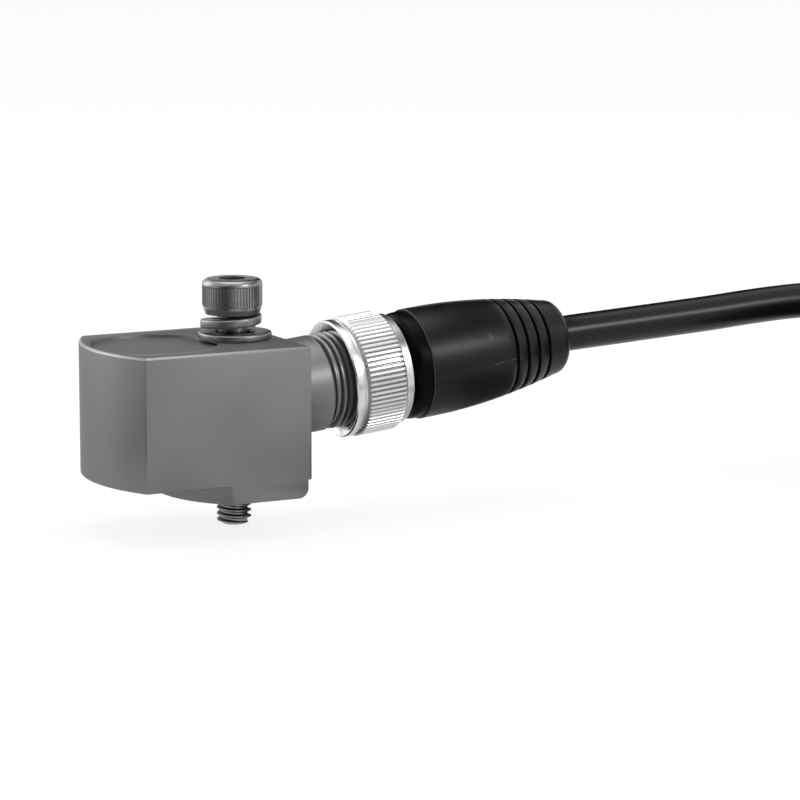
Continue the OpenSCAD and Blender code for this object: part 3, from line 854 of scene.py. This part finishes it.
def cord_curve(name, points, radius):
    """A smooth round cord through points in millimetres, as a curve of one open spline."""
    data = bpy.data.curves.new(name, "CURVE")
    data.dimensions = "3D"
    data.bevel_depth = radius * MM
    data.bevel_resolution = 6
    data.use_fill_caps = True
    spline = data.splines.new("POLY")
    spline.points.add(len(points) - 1)
    for spot, point in zip(spline.points, points):
        spot.co = (*[c * MM for c in point], 1)
    spline.use_smooth = True
    return place_mesh(name, data)


def smooth_route(points, per_span):
    """More points between those given, on a curve that passes through all of them."""
    given = [Vector(p) for p in points]
    route = []
    for i in range(len(given) - 1):
        before = given[max(i - 1, 0)]
        after = given[min(i + 2, len(given) - 1)]
        a, b = given[i], given[i + 1]
        for k in range(per_span):
            t = k / per_span
            route.append(0.5 * (2 * a + (b - before) * t + (2 * before - 5 * a + 4 * b - after) * t * t
                                + (3 * a - before - 3 * b + after) * t ** 3))
    route.append(given[-1])
    return route


class VIBRATION_OT_cable(bpy.types.Operator):
    """Lays the cable, its stored hank, its bare end and the tie"""
    bl_idname = "vibration.cable"
    bl_label = "Cable"

    def execute(self, context):
        cable = settings().cable
        diameter = cable.diameter / MM
        jacket = moulded_compound(
            "extruded_jacket", cable.colour, 0.25, 0.31, 0.2, 0.004, Specular_IOR_Level=0.26)
        turns = hank_route(diameter)
        start = [tuple(GRIP_END), tuple(GRIP_END + LEAD_STUB * AXIS_DIR)]
        last = (LEAD_LAST_X, 0, turns[0][2] + LEAD_LAST_RISE)
        lead = smooth_route(start + LEAD_ROUTE + [last, turns[0]], 3)
        rest = FLOOR_Z / MM + diameter / 2
        tail = smooth_route([turns[-1]] + [(x, y, z + rest) for x, y, z in TAIL_ROUTE], 3)
        route = [tuple(p) for p in lead[:-1]] + turns[:-1] + [tuple(p) for p in tail]
        cord = cord_curve("cable_jacket", route, diameter / 2)
        cord.data.materials.append(jacket)
        pieces = self.bare_end(tail[-1]) + [self.tie(diameter)]
        dress(cord, SENSOR, "cable_jacket", "cable", "cable_hank", "cable_tail")
        return {"FINISHED"}

    def bare_end(self, end):
        """Four cores fan out of the jacket, each with a tinned sleeve."""
        low = FLOOR_Z / MM + CORE_RADIUS
        profile = soften(SLEEVE_PROFILE, 0.12)
        level = Matrix.Rotation(-math.pi / 2, 4, "Y")
        pieces = []
        sleeves = []
        for i, (name, colour) in enumerate(CORE_COLOURS.items()):
            upper = i in (0, 3)
            first = Vector(end) + Vector((0, -CORE_OFFSET if i < 2 else CORE_OFFSET,
                                          CORE_OFFSET if upper else -CORE_OFFSET))
            last = Vector((CORE_END_X, CORE_FIRST_Y + i * CORE_SPREAD, low))
            span = last - first
            drop = UPPER_DROP if upper else LOWER_DROP
            points = [(first.x + span.x * k / 4, first.y + span.y * CORE_FAN[k], first.z + span.z * drop[k])
                      for k in range(5)]
            route = [(x, y, max(z, low)) for x, y, z in smooth_route(points, 4)]
            core = settle_curve(cord_curve(f"{name}_lead", route, CORE_RADIUS))
            insulation = moulded_compound(f"extruded_{name}", linear(colour), 0.35, 0.5)
            pieces.append(dress(core, SENSOR, name, name, material=insulation))
            sleeves.append(revolve(f"sleeve_{i}", profile, Matrix.Translation(last * MM) @ level, 24))
        tin = nickel_plate("tinned_copper", linear("#b9b8b4"), 0.3, 0.45)
        ferrules = join("crimped_ferrules", sleeves)
        pieces.append(dress(ferrules, SENSOR, "tinned_copper", "ferrules", material=tin))
        return pieces

    def tie(self, diameter):
        """A strap round the hank's front run, with its ratchet head on top."""
        low = HANK_BOTTOM - TIE_SLACK
        high = HANK_BOTTOM + HANK_LAYERS * diameter + TIE_SLACK
        back = -2 * HANK_FOLD + 1.5 * diameter + TIE_SLACK
        front = -2 * HANK_FOLD - 0.5 * diameter - TIE_SLACK

        def loop(grow_by, radius):
            near, far = front - grow_by, back + grow_by
            under, over = low - grow_by, high + grow_by
            return soften([(near, under), (far, under), (far, over), (near, over)], radius, 5, closed=True)

        inner = loop(0, 1.2)
        outer = loop(TIE_THICKNESS, 2.0)
        bm = bmesh.new()
        rings = []
        for outline, side in ((inner, -1), (outer, -1), (outer, 1), (inner, 1)):
            x = (TIE_X + side * TIE_HALF_WIDTH) * MM
            rings.append([bm.verts.new((x, y * MM, z * MM)) for y, z in outline])
        bridge(bm, rings, True)
        bmesh.ops.recalc_face_normals(bm, faces=bm.faces)
        strap = ease_edges(mesh_object("strap", bm), 0.12)
        wide, deep, tall = [size * MM for size in TIE_HEAD]
        outline = soften([(-wide, -deep), (wide, -deep), (wide, deep), (-wide, deep)], 0.6 * MM, closed=True)
        head = ease_edges(stack("head", [(outline, 0), (outline, tall)]), 0.25)
        seat = Vector((TIE_X, (front + back) / 2, high + TIE_HEAD_LIFT)) * MM
        head.data.transform(Matrix.Translation(seat))
        tie = join("tie_strap", [strap, head])
        nylon = moulded_compound("moulded_nylon", linear("#242425"), 0.4, 0.5)
        return dress(tie, SENSOR, "tie_plastic", "cable_tie", material=nylon)


# Housing

# Sizes that the settings leave out, in millimetres: the foot, the lid in its pocket and the screw's hole.
FOOT_CENTRE = 4
FOOT_RADIUS = 13
FOOT_SETBACK = 0.4
FOOT_ROUND = 1.2
LID_X = -9.8
LID_RADIUS = 7.3
LID_SEAT = 16.35
LID_TOP = 17.15
HOLE_RADIUS = 2.15
ABOVE_ALL = 19

# The neck, along the connector's axis: its plain part, its thread, its open end and its bore.
NECK_BACK = -2.6
NECK_RADIUS = 5.65
NECK_PLAIN_END = 5.0
NECK_ROOT = 5.2
NECK_END = 12.4
NECK_BORE = 4.4
NECK_FLOOR = 4.1
NECK_THREAD_START = 5.3
NECK_THREAD_DEPTH = 0.46
NECK_THREAD_PITCH = 0.84
NECK_THREAD_TURNS = 7.0

# Material slots of the block and its foot.
EDGE_SLOT = 1
MILLED_SLOT = 2


def d_outline(centre, radius, half, right):
    """A block seen from above: rounded at its left end and cut square at its right."""
    meet = math.degrees(math.asin(half / radius))
    return arc((centre, 0), radius, 180 - meet, 180 + meet, 48) + [(right, -half), (right, half)]


class VIBRATION_OT_housing(bpy.types.Operator):
    """Makes the housing block with its foot and threaded neck, and the round lid"""
    bl_idname = "vibration.housing"
    bl_label = "Housing"

    def execute(self, context):
        housing = settings().housing
        metal = blasted_anodised_aluminium(housing.colour)
        metals = (metal, cut_aluminium(housing.edge_colour), milled_aluminium(housing.colour))
        whole = join("machined_housing", [self.block(housing, metals), self.neck(metal)])
        dress(whole, SENSOR, "housing_metal", "housing")
        self.thread(housing)
        self.lid(metal)
        return {"FINISHED"}

    def block(self, housing, metals):
        """The D-shaped block on its foot, as one solid with the lid's pocket and the screw's hole."""
        def outline(inset):
            return d_outline(housing.end_centre, housing.end_radius - inset, housing.depth / 2 - inset,
                             housing.face - inset)
        edge = housing.edge
        low = housing.foot_height
        broken = 0.06 * MM
        block = stack("block", [
            (outline(broken), low), (outline(0), low + broken), (outline(0), housing.height - edge),
            (outline(edge), housing.height)])
        for metal in metals:
            block.data.materials.append(metal)
        for face in block.data.polygons:
            if housing.height - edge < face.center.z < housing.height - 0.1 * edge:
                face.material_index = EDGE_SLOT
        unite(block, "UNION", self.foot(housing, metals))
        pocket = revolve(
            "pocket", [(0, LID_SEAT), (LID_RADIUS, LID_SEAT), (LID_RADIUS, ABOVE_ALL), (0, ABOVE_ALL)],
            Matrix.Translation((LID_X * MM, 0, 0)))
        hole = revolve(
            "hole", [(0, -1), (HOLE_RADIUS, -1), (HOLE_RADIUS, ABOVE_ALL), (0, ABOVE_ALL)], segments=48)
        unite(block, "DIFFERENCE", pocket, hole)
        return ease_edges(block, 0.05, 25)

    def foot(self, housing, metals):
        """The foot, round at its left end, with its lower edge under the connector rounded too."""
        right = housing.face - FOOT_SETBACK * MM
        radius = FOOT_ROUND * MM
        outline = d_outline(FOOT_CENTRE * MM, FOOT_RADIUS * MM, housing.depth / 2, right)
        foot = stack("foot", [(outline, 0), (outline, housing.foot_height + 0.2 * MM)])
        section = arc((right - radius, radius), radius, -90, 0, 12)
        section += [(right + MM, radius), (right + MM, -MM), (right - radius, -MM)]
        corner = stack("corner", [(section, -housing.depth), (section, housing.depth)])
        corner.data.transform(Matrix.Rotation(math.pi / 2, 4, "X"))
        unite(foot, "DIFFERENCE", corner)
        for metal in metals:
            foot.data.materials.append(metal)
        for face in foot.data.polygons:
            if face.normal.x < -0.5:
                face.material_index = MILLED_SLOT
        return foot

    def neck(self, metal):
        """The hollow neck with its plain part, and its thread's core up to the chamfered end."""
        profile = soften([
            (0, NECK_BACK), (NECK_RADIUS, NECK_BACK), (NECK_RADIUS, NECK_PLAIN_END),
            (NECK_ROOT, NECK_THREAD_START), (NECK_ROOT, NECK_END - 0.6), (NECK_ROOT - 0.4, NECK_END),
            (NECK_BORE, NECK_END), (NECK_BORE, NECK_FLOOR), (0, NECK_FLOOR)], 0.1)
        neck = revolve("neck", profile, CONNECTOR)
        neck.data.materials.append(metal)
        return neck

    def thread(self, housing):
        crest = NECK_ROOT + NECK_THREAD_DEPTH
        # The thread's grooves get painted shade: its colour darkens from the crests to the roots.
        metal = groove_shaded_metal("cut_aluminium_thread_painted_shade", housing.colour, CONNECTOR, NECK_ROOT * MM, crest * MM,
                              0.25, 0.34, 0.5, 0.7)
        thread = grow("neck_thread", thread_tree(), {
            "Turns": NECK_THREAD_TURNS, "Radius": NECK_ROOT * MM, "Pitch": NECK_THREAD_PITCH * MM,
            "Depth": NECK_THREAD_DEPTH * MM, "Start": NECK_THREAD_START * MM, "Fade": 0.05,
            "Material": metal}, CONNECTOR)
        dress(thread, SENSOR, "housing_metal")

    def lid(self, metal):
        """The lid, a little smaller than its pocket and with a broken upper edge."""
        rim = LID_RADIUS - 0.05
        profile = soften([
            (0, LID_SEAT), (rim, LID_SEAT), (rim, LID_TOP - 0.05), (rim - 0.1, LID_TOP), (0, LID_TOP)], 0.05)
        lid = revolve("turned_lid", profile, Matrix.Translation((LID_X * MM, 0, 0)))
        dress(lid, SENSOR, "housing_metal", "lid", material=metal)


# Screw and washers

# In millimetres.
HEAD_HEIGHT = 4.1
HEAD_RIM = 0.7
SHANK_RADIUS = 1.75
SCREW_THREAD_DEPTH = 0.42
SCREW_THREAD_TURNS = 6.6
SOCKET_HALF = 1.5
SOCKET_DEPTH = 2
SPRING_INNER, SPRING_OUTER, SPRING_THICK = 2.1, 3.55, 1.0
SPRING_FIRST, SPRING_TURN = 12, 336      # where its gap ends and how far it goes round, in degrees
SPRING_X = -0.2
FLAT_INNER, FLAT_OUTER = 2.2, 4.25
FLAT_X = 0.3


class VIBRATION_OT_screw(bpy.types.Operator):
    """Makes the knurled socket head screw, its spring washer and its flat washer"""
    bl_idname = "vibration.screw"
    bl_label = "Mounting screw"

    def execute(self, context):
        screw = settings().screw
        steel = turned_steel("turned_stainless_steel", screw.colour, 0.22, 0.38)
        washer_steel = turned_steel("stamped_washer_steel", screw.washer_colour, 0.28, 0.45)
        self.screw(screw, steel)
        self.spring_washer(washer_steel)
        self.flat_washer(washer_steel)
        return {"FINISHED"}

    def screw(self, screw, steel):
        """The screw with its hexagon socket, then the teeth round its head and its thread."""
        low, top = [corner[2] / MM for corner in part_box("mounting_screw")]
        seat = top - HEAD_HEIGHT
        r = screw.head / MM / 2
        root = screw.thread / MM / 2 - SCREW_THREAD_DEPTH
        knurl_floor = r - 0.12
        shaft = [(0, low), (root - 0.25, low), (root, low + 0.35), (root, -0.3), (SHANK_RADIUS, 0.4),
                 (SHANK_RADIUS, seat), (r - 0.36, seat), (r - 0.14, seat + 0.7), (knurl_floor, seat + 1.0),
                 (knurl_floor, top - 0.85)]
        rim = arc((r - HEAD_RIM, top - HEAD_RIM), HEAD_RIM, 0, 90, 8)
        profile = soften(shaft, 0.08) + [(r, top - 0.75)] + rim + [(0, top)]
        piece = revolve("turned_screw", profile, sharp_angle=30)
        hexagon = arc((0, 0), SOCKET_HALF * MM / math.cos(math.pi / 6), 0, 300, 5)
        socket = stack("socket", [(hexagon, (top - SOCKET_DEPTH) * MM), (hexagon, (top + 1) * MM)])
        unite(piece, "DIFFERENCE", socket)
        shade(piece.data, 30)
        dress(piece, SENSOR, "screw_steel", "mounting_screw", material=steel)
        knurl = grow("head_knurl", knurl_tree(), {
            "Teeth": screw.teeth, "Radius": (r - 0.14) * MM, "Height": 0.24 * MM,
            "Width": 2 * math.pi * r / screw.teeth * 0.86 * MM, "Crest": 0.3, "Start": (seat + 0.8) * MM,
            "End": (top - 0.55) * MM, "Material": steel})
        dress(knurl, SENSOR, "screw_steel")
        # The screw thread's grooves get painted shade: its colour darkens from the crests to the roots.
        thread_steel = groove_shaded_metal("rolled_steel_thread_painted_shade", screw.colour, Matrix(), root * MM,
                                     screw.thread / 2, 0.35, 0.3, 0.45, 1.0)
        thread = grow("screw_thread", thread_tree(), {
            "Turns": SCREW_THREAD_TURNS, "Radius": root * MM, "Pitch": screw.pitch,
            "Depth": SCREW_THREAD_DEPTH * MM, "Start": (low + 0.1) * MM, "Fade": 0.06,
            "Material": thread_steel})
        dress(thread, SENSOR, "screw_steel")

    def spring_washer(self, steel):
        """One open turn of a rounded bar, which rises from end to end."""
        low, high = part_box("spring_washer")
        steps = 72
        rise = (high[2] - low[2]) / MM - SPRING_THICK
        section = soften([
            (SPRING_INNER, SPRING_THICK), (SPRING_OUTER, SPRING_THICK), (SPRING_OUTER, 0), (SPRING_INNER, 0)],
            0.22, closed=True)
        bm = bmesh.new()
        rings = []
        for i in range(steps + 1):
            a = math.radians(SPRING_FIRST + SPRING_TURN * i / steps)
            lift = low[2] / MM + rise * i / steps
            rings.append([
                bm.verts.new(((r * math.cos(a) + SPRING_X) * MM, r * math.sin(a) * MM, (z + lift) * MM))
                for r, z in section])
        bridge(bm, rings)
        bm.faces.new(rings[0])
        bm.faces.new(rings[-1])
        bmesh.ops.recalc_face_normals(bm, faces=bm.faces)
        washer = mesh_object("wound_washer", bm)
        dress(washer, SENSOR, "washer_steel", "spring_washer", material=steel)

    def flat_washer(self, steel):
        low, high = [corner[2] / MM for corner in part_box("flat_washer")]
        profile = soften([(FLAT_INNER, low), (FLAT_OUTER, low), (FLAT_OUTER, high), (FLAT_INNER, high)],
                         0.22, 4, closed=True)
        washer = revolve("stamped_washer", profile, Matrix.Translation((FLAT_X * MM, 0, 0)))
        dress(washer, SENSOR, "washer_steel", "flat_washer", material=steel)


# Plug, along the connector's axis in millimetres

NUT_START, NUT_END = 7.3, 15.0
NUT_BORE = 5.8
NUT_COLLAR = 6.95
NUT_GROOVE = 6.5         # the turned groove between the collar and the knurl
NUT_LIP = 4.9            # the lip that holds the nut on the plug
LIP_FRONT = 13.8
KNURL_START, KNURL_END = 8.75, 13.9
KNURL_DEPTH = 0.3


class VIBRATION_OT_nut(bpy.types.Operator):
    """Makes the knurled coupling nut"""
    bl_idname = "vibration.nut"
    bl_label = "Coupling nut"

    def execute(self, context):
        plug = settings().plug
        crest = plug.nut / MM / 2
        root = crest - KNURL_DEPTH
        nickel = nickel_plate("bright_nickel_plate", plug.nut_colour, 0.24, 0.32)
        mouth = [(NUT_BORE, 8.2), (6.7, NUT_START), (6.82, NUT_START - 0.02), (NUT_COLLAR, 7.45)]
        groove = [(NUT_COLLAR, 8.3), (NUT_GROOVE, 8.4), (NUT_GROOVE, KNURL_START)]
        under_knurl = [(root, 8.85), (root, 13.5)]
        back = [(6.6, 13.85), (6.55, 14.85), (6.4, NUT_END), (NUT_LIP, NUT_END)]
        lip = [(NUT_LIP, LIP_FRONT), (NUT_BORE, LIP_FRONT)]
        profile = soften(mouth + groove + under_knurl + back + lip, 0.1, closed=True)
        nut = revolve("turned_nut", profile, CONNECTOR, sharp_angle=30)
        dress(nut, NUT, "nickel", "coupling_nut", material=nickel)
        # The knurl's grooves get painted shade: its colour darkens from the crests to the roots.
        knurl_nickel = groove_shaded_metal("formed_nickel_knurl_painted_shade", plug.nut_colour, CONNECTOR, root * MM, crest * MM,
                                     0.55, 0.36, 0.5, 1.0)
        knurl = grow("nut_knurl", knurl_tree(), {
            "Teeth": plug.teeth, "Radius": (root + 0.13) * MM, "Height": 0.34 * MM,
            "Width": 2 * math.pi * root / plug.teeth * MM, "Crest": 0.45, "Start": KNURL_START * MM,
            "End": KNURL_END * MM, "Material": knurl_nickel}, CONNECTOR)
        dress(knurl, NUT, "nickel")
        return {"FINISHED"}


GRIP_START = 15.3
GRIP_ROUND = 1.3
BAND_STEP = 0.2          # how much lower the matt band at the nut is
BAND_END = 17.55
LIT_EDGE_END = 17.7          # the edge painted paler, as a highlight line, runs from the band to here
TAPER_START = 20.0
TAPER_POWER = 1.85
BARREL_STATIONS = (18.5, 20, 21.5, 23, 24.5, 26, 27.2, 28.2)
TAIL_STATION = 35.2
GROOVE_FIRST = 29.2
GROOVE_PITCH = 1.6
# One groove: offset along the axis from its middle, and depth.
GROOVE_SECTION = ((-0.3, 0), (-0.2, 0.06), (-0.15, 0.4), (0.15, 0.4), (0.2, 0.06), (0.3, 0))
ARROW_START = 20.7
ARROW_LENGTH = 2
ARROW_HALF_WIDTH = 1.1
ARROW_DEPTH = 0.25
ARROW_CUTTER = 2         # height of the cutter, which stands out of the grip
ARROW_TURN = 14          # degrees from the top towards the front

# Marks that the photo shows on the grip: both ends on the connector's axes and half the width.
GRIP_MARKS = (
    ((-3.0, -5.53, 25.75), (-2.25, -5.86, 25.85), 0.32),
    ((0.62, -6.29, 25.45), (0.55, -6.07, 27.6), 0.11),
    ((0.55, -6.07, 27.6), (0.5, -5.77, 29.81), 0.11),
)


class VIBRATION_OT_grip(bpy.types.Operator):
    """Makes the moulded grip with its flex grooves"""
    bl_idname = "vibration.grip"
    bl_label = "Grip"

    def execute(self, context):
        plug = settings().plug
        big = plug.grip / MM / 2
        grip = revolve("moulded_grip", self.profile(plug, big), CONNECTOR)
        long, wide = ARROW_LENGTH * MM, ARROW_HALF_WIDTH * MM
        corners = [(0, 0), (long, wide), (long, -wide)]
        arrow = stack("arrow", [(corners, 0), (corners, ARROW_CUTTER * MM)])
        arrow.data.transform(CONNECTOR @ Matrix.Rotation(math.radians(ARROW_TURN), 4, "Z")
                             @ Matrix.Translation(Vector((-big + ARROW_DEPTH, 0, ARROW_START)) * MM)
                             @ Matrix.Rotation(-math.pi / 2, 4, "Y"))
        unite(grip, "DIFFERENCE", arrow)
        shade(grip.data, 30)
        self.paint(grip, plug)
        dress(grip, SENSOR, "grip_plastic", "plug_grip")
        return {"FINISHED"}

    def profile(self, plug, big):
        """Outline from the nut to the cable: round front, band, barrel, grooves and tail."""
        tail = plug.tail / MM / 2
        band = big - BAND_STEP
        taper_end = GRIP_LENGTH - GRIP_ROUND

        def radius(s):
            share = max(0, (s - TAPER_START) / (taper_end - TAPER_START))
            return big - (big - tail) * share ** TAPER_POWER

        points = [(0, GRIP_START)]
        points += arc((band - GRIP_ROUND, GRIP_START + GRIP_ROUND), GRIP_ROUND, -90, 0, 10)
        points += [(band, BAND_END), (big - 0.1, BAND_END + 0.01), (big, LIT_EDGE_END)]
        points += [(radius(s), s) for s in BARREL_STATIONS]
        for i in range(plug.grooves):
            middle = GROOVE_FIRST + GROOVE_PITCH * i
            points += [(radius(middle + offset) - depth, middle + offset) for offset, depth in GROOVE_SECTION]
        points.append((radius(TAIL_STATION), TAIL_STATION))
        points += arc((tail - GRIP_ROUND, taper_end), GRIP_ROUND, 0, 90, 8)
        return points + [(0, GRIP_LENGTH)]

    def paint(self, grip, plug):
        """A satin skin with its marks, a matt band next to the nut, and between them an edge in a paler grey
        as a painted highlight line.
        """
        satin = moulded_compound("moulded_satin_compound", plug.grip_colour, 0.28, 0.42, 0.16, 0.005,
                                 Specular_IOR_Level=0.24)
        rub(satin, CONNECTOR, GRIP_MARKS, linear("#505050"))
        matt = moulded_compound("moulded_matt_compound", linear("#040404"), 0.3, 0.36, 0.16, 0.003,
                                Specular_IOR_Level=0.05)
        # Painted highlight: the paler grey stands in for the light line that the edge catches.
        lit_edge = moulded_compound("compound_edge_painted_highlight", linear("#303030"), 0.4, 0.5, Specular_IOR_Level=0.3)
        for skin in (satin, matt, lit_edge):
            grip.data.materials.append(skin)
        to_axis = CONNECTOR.inverted()
        for face in grip.data.polygons:
            s = (to_axis @ face.center).z / MM
            face.material_index = 1 if s < BAND_END + 0.01 else 2 if s < LIT_EDGE_END - 0.01 else 0


class VIBRATION_OT_inner(bpy.types.Operator):
    """Gives the pieces inside the housing and the connector their materials"""
    bl_idname = "vibration.inner"
    bl_label = "Inner pieces"

    def execute(self, context):
        black = moulded_compound("moulded_insert", linear("#1c1c1e"), 0.45, 0.6)
        gold = nickel_plate("gold_plate", linear("#d9a441"), 0.18, 0.3)
        finishes = {
            "insulating_washer": moulded_compound("pressed_mica", linear("#d8d2c0"), 0.5, 0.65),
            "piezo_rings": moulded_compound("sintered_piezo_ceramic", linear("#b9a27e"), 0.6, 0.75),
            "electrode": gold,
            "seismic_mass": turned_steel("turned_heavy_metal", linear("#6d6e72"), 0.3, 0.45),
            "preload_screw": turned_steel("turned_inner_steel", linear("#9a9a9c"), 0.25, 0.4),
            "circuit_board": solder_mask(),
            "board_components": black,
            "lead_wires": moulded_compound("extruded_wire_insulation", linear("#a8322c"), 0.4, 0.5),
            "receptacle_insert": black,
            "receptacle_pins": gold,
            "plug_insert": black,
            "plug_sockets": gold,
            "plug_seal": moulded_compound("moulded_seal_rubber", linear("#9c3022"), 0.55, 0.7),
        }
        for name, material in finishes.items():
            for slot in frame["nodes"][name].material_slots:
                slot.material = material
        return {"FINISHED"}


class VIBRATION_PT_panel(bpy.types.Panel):
    """Lists the steps that dress the vibration sensor"""
    bl_idname = "VIBRATION_PT_panel"
    bl_label = "Vibration Sensor"
    bl_space_type = "VIEW_3D"
    bl_region_type = "UI"
    bl_category = "Vibration Sensor"

    def draw(self, context):
        for operator in OPERATORS:
            self.layout.operator(operator.bl_idname)


OPERATORS = (
    VIBRATION_OT_stage, VIBRATION_OT_cable, VIBRATION_OT_housing, VIBRATION_OT_screw, VIBRATION_OT_nut,
    VIBRATION_OT_grip, VIBRATION_OT_inner,
)
GROUPS = (HousingSettings, ScrewSettings, PlugSettings, CableSettings, StageSettings, SensorSettings)
CLASSES = GROUPS + OPERATORS + (VIBRATION_PT_panel,)


def register():
    for cls in CLASSES:
        bpy.utils.register_class(cls)
    bpy.types.Scene.vibration_sensor = PointerProperty(type=SensorSettings)


def unregister():
    del bpy.types.Scene.vibration_sensor
    for cls in reversed(CLASSES):
        bpy.utils.unregister_class(cls)


def main():
    register()
    bpy.ops.vibration.stage()
    bpy.ops.vibration.cable()
    bpy.ops.vibration.housing()
    bpy.ops.vibration.screw()
    bpy.ops.vibration.nut()
    bpy.ops.vibration.grip()
    bpy.ops.vibration.inner()


if __name__ == "__main__":
    main()
